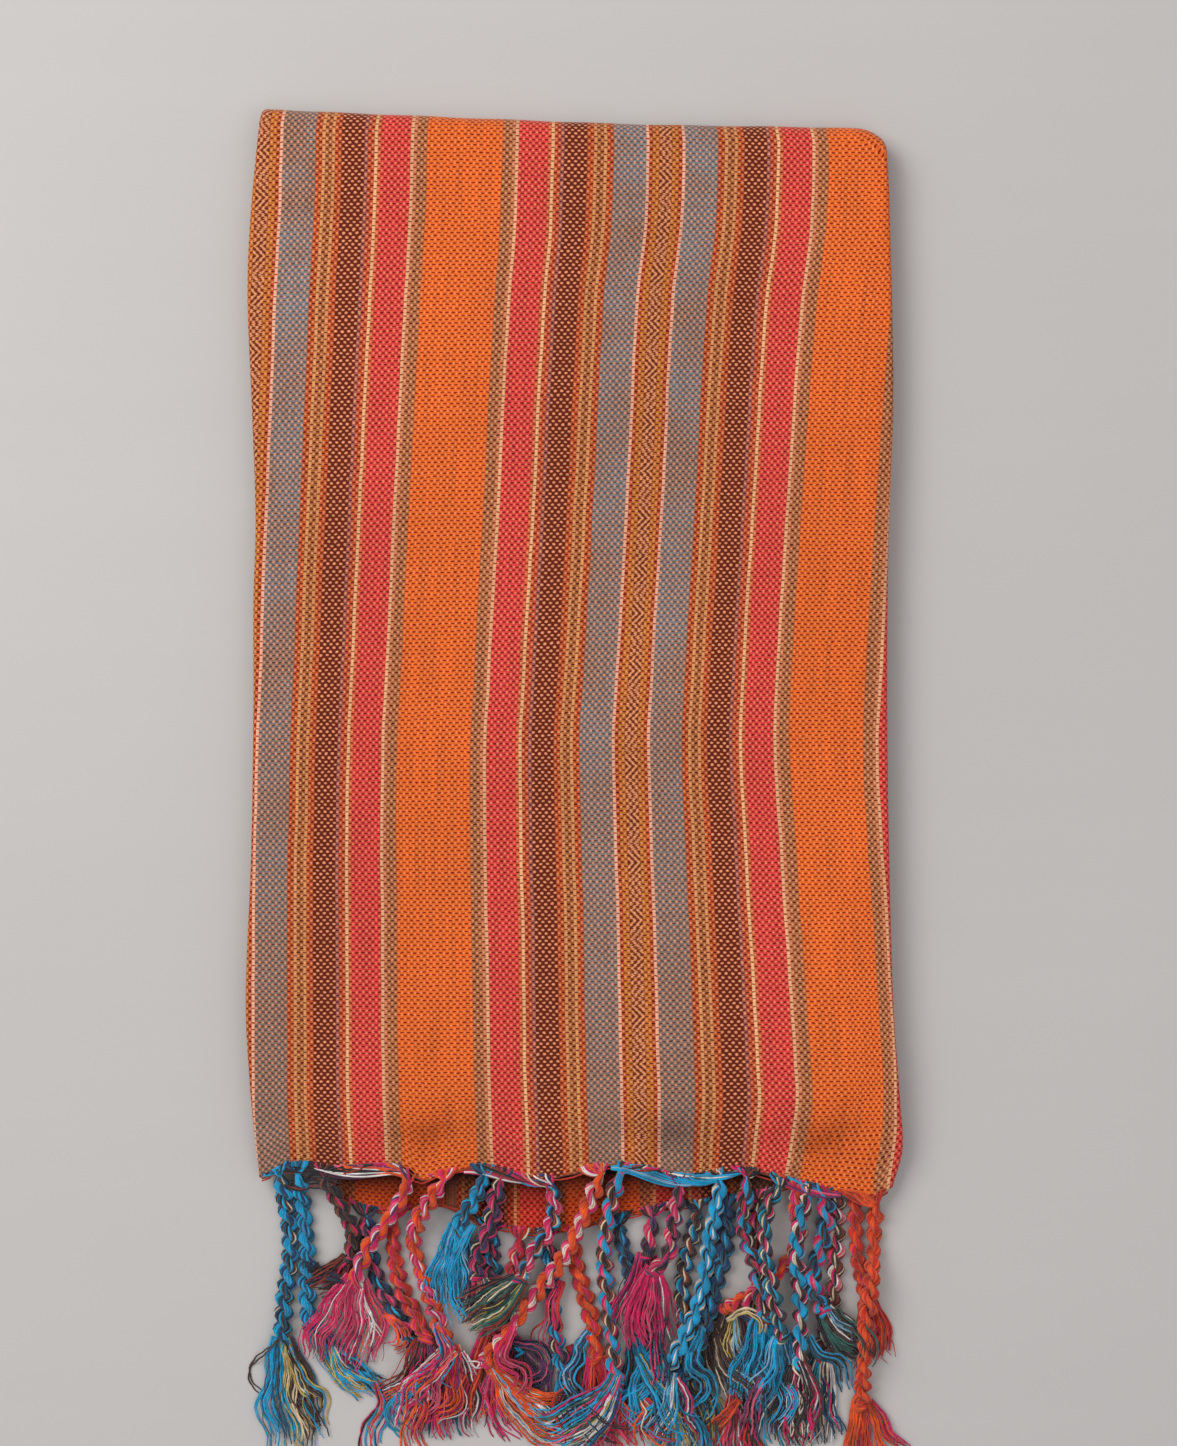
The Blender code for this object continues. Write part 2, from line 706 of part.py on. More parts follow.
def strand_mesh(name, strand):
    """The solid of one strand."""
    points = [(place.x, place.y, height) for place, height in zip(strand.route, strand.heights)]
    return tube_mesh(name, points, strand.radii)


def no_cloth(place, radius):
    """The floor alone lies under this strand."""
    return 0.0


def over_under_cloth(place, radius):
    """The height that keeps a strand of the upper end clear of the other end's cloth."""
    if not UNDER_LEFT - UNDER_MARGIN < place.x < UNDER_RIGHT + UNDER_MARGIN:
        return 0.0
    if place.y < smooth_value(UNDER_HEM, place.x) - UNDER_LEDGE:
        return 0.0
    return under_height(place.x, place.y) + radius + UNDER_CLEARANCE


def hide(helper):
    """Marks an object that only shapes another one."""
    helper.hide_render = True
    helper.display_type = "WIRE"


def fringe(name, hem, tassels, finish, parts, helpers):
    """One end's fringe: its strands joined to the strip of gathered yarn along the hem."""
    strip = add_object(name, strip_mesh(name, hem), parts, finish)
    strands = bpy.data.collections.new(name + " strands")
    helpers.children.link(strands)
    for index, tassel in enumerate(tassels):
        for number, strand in enumerate((tassel.cord, *tassel.locks)):
            piece = f"{name}_{index + 1:02d}_{number}"
            hide(add_object(piece, strand_mesh(piece, strand), strands, finish))
    join(strip, strands)


def main():
    for old in list(bpy.data.objects):
        bpy.data.objects.remove(old, do_unlink=True)
    parts = bpy.data.collections.new("scarf")
    helpers = bpy.data.collections.new("helpers")
    for collection in (parts, helpers):
        bpy.context.scene.collection.children.link(collection)

    orange_cloth = material("striped_cotton", (0.72, 0.19, 0.04), 0.85)
    shaded_cloth = material("hidden_cotton", (0.55, 0.16, 0.06), 0.9)
    twisted_yarn = material("twisted_yarn", (0.02, 0.28, 0.45), 0.7)
    loose_yarn = material("loose_yarn", (0.55, 0.05, 0.14), 0.7)

    front_grid = panel_rows()
    front = add_object("front_cloth", sheet_mesh("front_cloth", front_grid), parts, orange_cloth)
    thicken(front)
    under_grid = under_rows()
    under = add_object("under_cloth", sheet_mesh("under_cloth", under_grid), parts, shaded_cloth)
    thicken(under)

    layers = loft_mesh("hidden_layers", hidden_core_sections())
    core = add_object("hidden_layers", layers, parts, shaded_cloth)
    edges = bpy.data.collections.new("folded edges")
    helpers.children.link(edges)
    folds = loft_mesh("folded_edges", hidden_side_sections())
    hide(add_object("folded_edges", folds, edges, shaded_cloth))
    join(core, edges)

    under_hem = hem_line(under_grid[0], UNDER_ROLL_STEPS)
    front_hem = hem_line(front_grid[0], ROLL_STEPS)
    under_tassels = [Tassel(row, under_hem, no_cloth) for row in UNDER_CORDS]
    front_tassels = [Tassel(row, front_hem, over_under_cloth) for row in FRONT_CORDS]
    settle(under_tassels + front_tassels)
    fringe("under_fringe", under_hem, under_tassels, loose_yarn, parts, helpers)
    fringe("front_fringe", front_hem, front_tassels, twisted_yarn, parts, helpers)


if __name__ == "__main__":
    main()
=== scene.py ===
"""A hand-woven striped cotton scarf, folded flat, with its two knotted fringes together.

The cloth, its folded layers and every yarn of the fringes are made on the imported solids.
Tables are in millimetres, as a maker would measure them on the table, seen from above.
"""

import logging
import random
from dataclasses import dataclass, field
from enum import Enum
from math import ceil, cos, exp, pi, radians, sin, sqrt
from typing import Callable, Sequence

import bpy
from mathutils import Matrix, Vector
from mathutils.kdtree import KDTree


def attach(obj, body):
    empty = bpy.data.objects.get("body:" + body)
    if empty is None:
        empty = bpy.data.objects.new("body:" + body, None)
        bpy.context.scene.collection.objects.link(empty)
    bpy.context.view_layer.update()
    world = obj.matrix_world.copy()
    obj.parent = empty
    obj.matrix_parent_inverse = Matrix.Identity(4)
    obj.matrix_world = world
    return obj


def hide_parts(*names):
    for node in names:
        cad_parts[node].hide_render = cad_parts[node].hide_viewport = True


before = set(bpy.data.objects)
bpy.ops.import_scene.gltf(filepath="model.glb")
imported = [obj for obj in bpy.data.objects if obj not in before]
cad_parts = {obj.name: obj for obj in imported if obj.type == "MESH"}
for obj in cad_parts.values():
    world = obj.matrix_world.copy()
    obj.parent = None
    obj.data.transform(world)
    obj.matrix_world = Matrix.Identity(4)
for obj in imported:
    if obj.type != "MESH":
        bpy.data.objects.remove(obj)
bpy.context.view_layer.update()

MM = 0.001
# Points that are closer than this are one point
WELD = 0.000001
CURVE_STEPS = 12
LOG = logging.getLogger("scarf")

Row = tuple[float, ...]
Pair = tuple[float, float]
Colour = tuple[float, float, float]
# A cloth's section: (share across, outset, depth, way round the roll) of each point
Section = list[tuple[float, float, float, float]]
Piece = bpy.types.Object
Finish = bpy.types.Material
Socket = bpy.types.NodeSocket


def smooth_value(rows: Sequence[Row], place: float, column: int = 1) -> float:
    """The value at a place on the smooth curve through the rows of a table.

    Args:
        rows: the table, its first column rising.
        place: where to read the first column.
        column: which column's value is wanted.

    Returns:
        The value, held level past both ends.
    """
    if place <= rows[0][0]:
        return rows[0][column]
    if place >= rows[-1][0]:
        return rows[-1][column]
    index = next(i for i in range(len(rows) - 1) if place <= rows[i + 1][0])
    slopes = []
    for i in (index, index + 1):
        before = rows[max(i - 1, 0)]
        after = rows[min(i + 1, len(rows) - 1)]
        slopes.append((after[column] - before[column]) / (after[0] - before[0]))
    x0, x1 = rows[index][0], rows[index + 1][0]
    y0, y1 = rows[index][column], rows[index + 1][column]
    step = x1 - x0
    t = (place - x0) / step
    return (
        (1 + 2 * t) * (1 - t) ** 2 * y0
        + t * (1 - t) ** 2 * step * slopes[0]
        + t * t * (3 - 2 * t) * y1
        + t * t * (t - 1) * step * slopes[1]
    )


def level_value(rows: Sequence[Row], place: float) -> float:
    """The value at a place on the straight lines between the rows of a table.

    Args:
        rows: the table, its first column rising.
        place: where to read the first column.

    Returns:
        The value in the second column, held level past both ends.
    """
    for one, other in zip(rows, rows[1:]):
        if place <= other[0]:
            share = max(0.0, (place - one[0]) / (other[0] - one[0]))
            return one[1] + share * (other[1] - one[1])
    return rows[-1][1]


def through(points: Sequence[Vector], count: int) -> list[Vector]:
    """Evenly spread points on a smooth curve.

    Args:
        points: the points that the curve goes through.
        count: how many points are wanted.

    Returns:
        The points, the first and the last of the given ones among them.
    """
    ends = [2 * points[0] - points[1], *points, 2 * points[-1] - points[-2]]
    dense = []
    for i in range(1, len(ends) - 2):
        a, b, c, d = ends[i - 1 : i + 3]
        for k in range(CURVE_STEPS):
            t = k / CURVE_STEPS
            dense.append(
                0.5
                * (2 * b + (c - a) * t + (2 * a - 5 * b + 4 * c - d) * t * t + (3 * b - a - 3 * c + d) * t**3)
            )
    dense.append(points[-1])
    lengths = [0.0]
    for one, other in zip(dense, dense[1:]):
        lengths.append(lengths[-1] + (other - one).length)
    spread = []
    index = 0
    for k in range(count):
        goal = lengths[-1] * k / (count - 1)
        while index < len(dense) - 2 and lengths[index + 1] < goal:
            index += 1
        share = (goal - lengths[index]) / (lengths[index + 1] - lengths[index])
        spread.append(dense[index].lerp(dense[index + 1], share))
    return spread


def linear(colour: Colour) -> tuple[float, float, float, float]:
    """The light that a colour throws back.

    Args:
        colour: the colour from 0 to 255, as on a dye card.

    Returns:
        The light from 0 to 1, with an alpha of 1.
    """
    parts = [c / 255 for c in colour]
    light = [c / 12.92 if c <= 0.04045 else ((c + 0.055) / 1.055) ** 2.4 for c in parts]
    return (light[0], light[1], light[2], 1.0)


@dataclass(frozen=True)
class FoldedShape:
    """The folded scarf's outline and heights, the same as its solids have."""

    wall: float = 1.1
    gap: float = 0.3
    layer_gap: float = 0.4
    fold_pass: float = 3.3
    pass_count: int = 4
    tuck: float = 3.0
    wrap_end: float = radians(165)
    left_mean: float = -115.0
    right_mean: float = 113.0
    left_fold: tuple[Row, ...] = (
        (-136, -114.0), (-129, -114.5), (-99, -117.0), (-70, -118.4), (-16, -116.4),
        (38, -115.6), (74, -115.6), (103, -114.8), (146, -116.3), (182, -117.7),
        (207, -117.0), (236, -114.5), (252, -112.6),
    )
    right_fold: tuple[Row, ...] = (
        (-137, 115.0), (-124, 118.1), (-106, 117.0), (-70, 114.5), (-16, 113.0), (38, 112.3),
        (89, 112.7), (146, 114.5), (207, 113.4), (232, 112.4), (244, 110.6),
    )
    top_fold: tuple[Row, ...] = (
        (-118, 250.4), (-112, 251.4), (-95, 250.6), (-27, 247.8), (23, 246.0), (80, 245.0),
        (100, 244.6), (107, 243.6), (113, 239.6), (118, 234.0),
    )
    front_hem: tuple[Row, ...] = (
        (-119, -134.0), (-112, -134.2), (-103, -129.4), (-85, -131.0), (-63, -130.4),
        (-56, -135.0), (-48, -132.8), (-34, -130.4), (-13, -134.4), (16, -129.4),
        (41, -134.4), (59, -131.2), (85, -137.4), (99, -140.0), (108, -141.6),
        (113, -138.4), (119, -135.4),
    )
    under_hem: tuple[Row, ...] = (
        (-92, -134.0), (-83, -143.0), (-67, -147.0), (-49, -144.0), (-29, -152.4),
        (-9, -154.6), (9, -150.8), (31, -145.6), (45, -143.8), (67, -140.2), (88, -135.4),
        (110, -131.0),
    )
    under_left: float = -90.0
    under_right: float = 107.0
    under_start: float = -98.0
    under_roll: float = 1.15
    under_tuck: float = 2.0
    hidden_end: float = -118.0
    hidden_round: float = 5.0
    front_fall: tuple[Row, ...] = (
        (-146, 6.6), (-138, 7.2), (-130, 8.6), (-122, 10.7), (-112, 12.4), (-100, 13.1),
        (-80, 13.2),
    )
    under_fall: tuple[Row, ...] = (
        (-158, 3.0), (-150, 3.4), (-140, 4.3), (-132, 5.4), (-124, 6.9), (-116, 8.8),
        (-104, 11.0),
    )
    swells: tuple[Row, ...] = (
        (-52, -119, 15, 9, -1.3), (-84, -112, 18, 12, 0.5), (-6, -116, 22, 10, 0.6),
        (38, -119, 20, 9, -1.5), (66, -114, 14, 10, 0.5), (92, -122, 12, 10, -1.4),
        (-72, 40, 34, 90, -0.4), (28, 150, 30, 80, -0.45), (60, 0, 36, 70, 0.3),
        (0, -60, 40, 40, 0.25),
    )
    # Creases: centre, half length, half width, turn in degrees, height
    creases: tuple[Row, ...] = (
        (-51, -121, 10, 4.5, 62, -1.3), (-44, -124, 9, 3, 80, 0.6),
        (34, -121, 9, 4, 55, -1.3), (44, -125, 10, 4, 110, -1.1), (24, -123, 9, 3.5, 75, 0.6),
        (91, -122, 11, 4.5, 35, -2.0), (80, -129, 11, 3, 15, 0.9), (101, -131, 12, 4, 60, 0.9),
        (-54, -119, 15, 4, 5, -1.0), (24, -117, 19, 4.2, -5, -1.1), (-108, -113, 9, 5, 12, -0.8),
        (72, -120, 9, 4, 14, -0.7), (-16, -112, 16, 4, 8, -0.5), (100, -108, 9, 4, 40, -0.7),
        (84, -118, 4, 10, 30, -0.8), (108, -122, 12, 3, 88, -0.5),
        (-92, -125, 8, 3, 85, -0.5), (-108, -120, 14, 3, 88, 0.35), (-22, -126, 8, 3, 95, -0.6),
        (6, -124, 9, 4, 82, -0.5), (64, -126, 9, 3, 100, -0.6), (112, -112, 22, 3, 88, 0.4),
        (-98, 60, 70, 5, 91, 0.22), (-60, 190, 40, 6, 84, -0.3), (52, 190, 46, 6, 95, 0.25),
        (88, 90, 60, 5, 88, -0.3), (-10, 20, 60, 7, 93, 0.2), (20, -70, 40, 6, 80, -0.2),
        (-30, 232, 60, 5, 2, 0.3), (60, 228, 44, 4, -2, 0.25), (-70, -40, 50, 6, 97, -0.25),
        (70, -60, 34, 6, 72, 0.3),
    )
    # The cloth's own unevenness: its height, the lengths of its waves and how much they bend
    unevenness: float = 0.05
    waves: tuple[float, float, float, float] = (7.3, 31, 11.7, 29)
    wave_bend: float = 1.7

    @property
    def stack(self) -> float:
        """The height of the folded cloth."""
        return self.fold_pass * self.pass_count

    @property
    def fold_radius(self) -> float:
        """The outer radius of the top fold."""
        return self.stack / 2

    def swell(self, x: float, y: float) -> float:
        """How far the soft hollows and swells move the upper face.

        Args:
            x: the place across.
            y: the place along.

        Returns:
            The rise, below zero in a hollow.
        """
        total = 0.0
        for middle_x, middle_y, half_x, half_y, height in self.swells:
            total += height * exp(-(((x - middle_x) / half_x) ** 2) - ((y - middle_y) / half_y) ** 2)
        return total

    def ripple(self, x: float, y: float) -> float:
        """The height of the creases, with the cloth's own slight unevenness.

        Args:
            x: the place across.
            y: the place along.

        Returns:
            The rise, below zero in a crease.
        """
        across, bent, along, slant = self.waves
        swaying = sin(x / across + self.wave_bend * sin(y / bent))
        total = self.unevenness * swaying * sin(y / along + x / slant)
        for middle_x, middle_y, half_long, half_wide, turn, height in self.creases:
            angle = radians(turn)
            dx, dy = x - middle_x, y - middle_y
            long_way = dx * cos(angle) + dy * sin(angle)
            wide_way = -dx * sin(angle) + dy * cos(angle)
            total += height * exp(-((long_way / half_long) ** 2) - (wide_way / half_wide) ** 2)
        return total

    def dent(self, x: float, y: float) -> float:
        """How far a crease presses the layers below it down."""
        return min(0.0, self.ripple(x, y))

    def front_height(self, x: float, y: float) -> float:
        """The outer cloth's upper face."""
        return smooth_value(self.front_fall, y) + self.swell(x, y)

    def under_height(self, x: float, y: float) -> float:
        """The upper face of the other end."""
        beneath_front = self.front_height(x, y) - self.wall - self.layer_gap
        return min(beneath_front, smooth_value(self.under_fall, y))

    def hidden_height(self, x: float, y: float) -> float:
        """The upper face of the hidden layers.

        Args:
            x: the place across.
            y: the place along.

        Returns:
            Its height, clear of the cloth that lies on it there.
        """
        if y < self.under_start + 2:
            return self.under_height(x, y) - 2 * self.under_roll - self.layer_gap
        return self.front_height(x, y) - self.wall - self.gap

    def wrap_start(self, x: float) -> float:
        """The y where the outer cloth starts to go round the top fold."""
        return smooth_value(self.top_fold, x) - self.fold_radius


@dataclass(frozen=True)
class StripeChart:
    """Where the stripes run: the x of four lines of the repeat at each y, then between them."""

    half_repeat: float = 72.0
    # y, and the x of a herringbone, a wide orange, a herringbone, a wide orange and the plain
    # pink band at the right fold
    rows: tuple[Row, ...] = (
        (-136.4, -121.3, -48.6, 24.1, 94.0, 113.4),
        (-120.2, -121.7, -49.0, 23.8, 97.2, 115.2),
        (-105.8, -122.0, -49.7, 23.4, 99.7, 115.4),
        (-91.4, -122.0, -50.1, 23.1, 98.8, 115.2),
        (-69.5, -122.0, -50.4, 22.7, 97.2, 113.8),
        (-33.8, -121.6, -50.8, 21.9, 94.0, 112.0),
        (-15.8, -121.3, -51.1, 21.2, 92.9, 110.4),
        (23.4, -120.2, -50.8, 20.2, 90.0, 108.7),
        (42.1, -119.5, -49.7, 21.2, 90.4, 109.8),
        (110.2, -117.0, -46.1, 25.2, 94.7, 113.8),
        (182.2, -114.1, -42.1, 28.8, 100.4, 119.5),
        (210.6, -112.7, -40.3, 32.0, 104.0, 123.1),
        (250.6, -111.6, -39.2, 33.1, 104.8, 123.9),
    )
    band: float = 3.265

    def lines_at(self, y: float) -> list[Row]:
        """Where the lines of the chart run at one place along the cloth.

        Args:
            y: the place along.

        Returns:
            The (x, half repeats) rows, some way further on both sides.
        """
        places = [smooth_value(self.rows, y, column) for column in (1, 2, 3, 4, 5)]
        lines = [(places[0] - self.half_repeat, -1.0)]
        lines += [(place, float(i)) for i, place in enumerate(places[:4])]
        lines.append((places[4], self.band))
        lines.append((places[4] + self.half_repeat * (4 - self.band), 4.0))
        return lines

    def across(self, x: float, y: float) -> float:
        """How far across the woven cloth the point at (x, y) lies."""
        return self.half_repeat * level_value(self.lines_at(y), x)


class Bench:
    """Where the pieces are made by hand tools, each in its own place."""

    @staticmethod
    def clear() -> None:
        """Lets go of everything."""
        bpy.ops.object.select_all(action="DESELECT")

    @staticmethod
    def pick(piece: Piece) -> None:
        """Takes one piece alone in hand.

        Args:
            piece: the piece.
        """
        Bench.clear()
        piece.select_set(True)
        bpy.context.view_layer.objects.active = piece

    @staticmethod
    def section(radius: float, tuck: float, steps: int, columns: int) -> Section:
        """A cloth's section, rolled under at both sides.

        Args:
            radius: the radius of both rolls.
            tuck: how far the cloth goes on beneath itself.
            steps: how many steps go round a roll.
            columns: how many columns the flat part has.

        Returns:
            (share across, outset, depth, way round the roll) from left to right.
        """
        turns = [pi * i / steps for i in range(1, steps + 1)]
        roll = [(radius * sin(turn), radius * (1 - cos(turn)), radius * turn) for turn in turns]
        roll.append((-tuck, 2 * radius, radius * pi + tuck))
        section = [(0.0, -out, depth, -way) for out, depth, way in reversed(roll)]
        section += [(i / columns, 0.0, 0.0, 0.0) for i in range(columns + 1)]
        section += [(1.0, out, depth, way) for out, depth, way in roll]
        return section

    @staticmethod
    def lay_grid(
        name: str,
        rows: Sequence[Sequence[Vector]],
        cloth: Sequence[Sequence[Pair]],
    ) -> Piece:
        """Lays a woven grid through points.

        Args:
            name: the piece's name.
            rows: rows of points in millimetres.
            cloth: for each point, where it lies on the flat cloth, in millimetres.

        Returns:
            The open sheet, its faces upwards and its map in metres of flat cloth.
        """
        Bench.clear()
        bpy.ops.mesh.primitive_grid_add(
            x_subdivisions=len(rows[0]) - 1, y_subdivisions=len(rows) - 1, size=1, calc_uvs=True
        )
        piece = bpy.context.view_layer.objects.active
        piece.name = name
        piece.data.name = name
        points = [point * MM for row in rows for point in row]
        piece.data.vertices.foreach_set("co", [part for point in points for part in point])
        flat = [place for row in cloth for place in row]
        mapping = piece.data.uv_layers.active.data
        for loop in piece.data.loops:
            u, v = flat[loop.vertex_index]
            mapping[loop.index].uv = (u * MM, v * MM)
        piece.data.update()
        bpy.ops.object.shade_smooth()
        return piece

    @staticmethod
    def thicken(piece: Piece, thickness: float) -> None:
        """Gives a sheet its thickness, inwards from its upper face.

        Args:
            piece: the open sheet.
            thickness: the cloth's thickness in millimetres.
        """
        Bench.pick(piece)
        wall = piece.modifiers.new("Cloth", "SOLIDIFY")
        wall.thickness = thickness * MM
        wall.offset = -1
        wall.use_even_offset = False
        bpy.ops.object.modifier_apply(modifier=wall.name)

    @staticmethod
    def dress(piece: Piece, finish: Finish, slot: str) -> None:
        """Gives a piece its finish.

        Args:
            piece: the piece.
            finish: its finish.
            slot: the record's material slot; not used.
        """
        piece.data.materials.clear()
        piece.data.materials.append(finish)


class DyePot:
    """Mixes a finish out of shader nodes."""

    def __init__(self, name: str) -> None:
        """Starts an empty finish with its surface shader.

        Args:
            name: the finish's name.
        """
        self.finish = bpy.data.materials.new(name)
        self.finish.use_nodes = True
        self.tree = self.finish.node_tree
        self.surface = self.tree.nodes["Principled BSDF"]
        self.solid = self.add("ShaderNodeTexCoord").outputs["Object"]

    def add(self, kind: str, **settings: object) -> bpy.types.Node:
        """Adds a node.

        Args:
            kind: the node's kind.
            settings: its settings.

        Returns:
            The node.
        """
        node = self.tree.nodes.new(kind)
        for key, value in settings.items():
            setattr(node, key, value)
        return node

    def feed(self, target: Socket, value: object) -> None:
        """Joins a socket to a value or to another node's output.

        Args:
            target: the socket.
            value: what it gets.
        """
        if isinstance(value, Socket):
            self.tree.links.new(value, target)
        else:
            target.default_value = value

    def sum(self, operation: str, *values: object, clamp: bool = False) -> Socket:
        """One step of arithmetic.

        Args:
            operation: the kind of step.
            values: what goes into it.
            clamp: whether the result is kept from 0 to 1.

        Returns:
            The result.
        """
        node = self.add("ShaderNodeMath", operation=operation, use_clamp=clamp)
        for target, value in zip(node.inputs, values):
            self.feed(target, value)
        return node.outputs[0]

    def times(self, one: object, other: object, clamp: bool = False) -> Socket:
        """One value times another."""
        return self.sum("MULTIPLY", one, other, clamp=clamp)

    def line(self, value: object, slope: object, start: object, clamp: bool = False) -> Socket:
        """A value times a slope, from a start."""
        return self.sum("MULTIPLY_ADD", value, slope, start, clamp=clamp)

    def span(self, value: Socket, low: float, high: float) -> Socket:
        """A value from 0 to 1 spread from low to high."""
        return self.line(value, high - low, low)

    def half_wave(self, value: Socket) -> Socket:
        """A hump from 0 to 1 and back over every whole step of a value."""
        return self.sum("SINE", self.times(self.sum("FRACT", value), pi))

    def split(self, kind: str, value: Socket) -> list[Socket]:
        """The parts of a place ("XYZ") or of a colour ("Color").

        Args:
            kind: which of the two it is.
            value: the place or the colour.

        Returns:
            Its three parts.
        """
        node = self.add("ShaderNodeSeparate" + kind)
        self.feed(node.inputs[0], value)
        return list(node.outputs)

    def own_map(self) -> Socket:
        """The place on the piece's own map, in metres."""
        return self.add("ShaderNodeUVMap", uv_map="UVMap").outputs[0]

    def blend(self, share: object, one: object, other: object, kind: str = "MIX") -> Socket:
        """Mixes two colours.

        Args:
            share: the second colour's share.
            one: the first colour.
            other: the second colour.
            kind: how they are mixed.

        Returns:
            The mixed colour.
        """
        node = self.add("ShaderNodeMix", data_type="RGBA", blend_type=kind)
        for index, value in ((0, share), (6, one), (7, other)):
            self.feed(node.inputs[index], value)
        return node.outputs[2]

    def tint(self, one: object, other: object) -> Socket:
        """A colour seen in another colour's light."""
        return self.blend(1.0, one, other, "MULTIPLY")

    def card(self, place: Socket, stops: Sequence[tuple[float, Colour]]) -> Socket:
        """A row of plain colours along a value.

        Args:
            place: the value from 0 to 1.
            stops: where each colour starts, and the colour.

        Returns:
            The colour at the value.
        """
        node = self.add("ShaderNodeValToRGB")
        row = node.color_ramp
        row.interpolation = "CONSTANT"
        for element, (start, colour) in zip(row.elements, stops):
            element.position, element.color = start, linear(colour)
        for start, colour in stops[2:]:
            row.elements.new(start).color = linear(colour)
        self.feed(node.inputs[0], place)
        return node.outputs[0]

    def mottle(self, where: Socket, scale: float, detail: float = 2.0) -> Socket:
        """Uneven grey from 0 to 1.

        Args:
            where: the place to read it at.
            scale: how fine it is.
            detail: how many finer layers it has.

        Returns:
            The grey.
        """
        node = self.add("ShaderNodeTexNoise")
        for name, value in (("Vector", where), ("Scale", scale), ("Detail", detail)):
            self.feed(node.inputs[name], value)
        return node.outputs["Fac"]

    def drawn_out(self, where: Socket, factors: Colour, detail: float = 2.0) -> Socket:
        """Uneven grey drawn out into streaks.

        Args:
            where: the place to read it at.
            factors: how fine it is in each direction.
            detail: how many finer layers it has.

        Returns:
            The grey.
        """
        node = self.add("ShaderNodeVectorMath", operation="MULTIPLY")
        self.feed(node.inputs[0], where)
        self.feed(node.inputs[1], factors)
        return self.mottle(node.outputs[0], 1.0, detail)

    def emboss(self, height: Socket, strength: float, distance: float) -> None:
        """Gives the surface its relief.

        Args:
            height: the relief's height.
            strength: its strength.
            distance: what a height of 1 stands for, in millimetres.
        """
        bump = self.add("ShaderNodeBump")
        for name, value in (("Strength", strength), ("Distance", distance * MM), ("Height", height)):
            self.feed(bump.inputs[name], value)
        self.feed(self.surface.inputs["Normal"], bump.outputs[0])

    def pour(self, colour: Socket, settings: dict[str, object]) -> Finish:
        """Pours the colour over the surface and sets the rest of it.

        Args:
            colour: the surface's colour.
            settings: the surface's other sockets and their values.

        Returns:
            The finished material.
        """
        self.feed(self.surface.inputs["Base Color"], colour)
        for name, value in settings.items():
            self.surface.inputs[name].default_value = value
        return self.finish


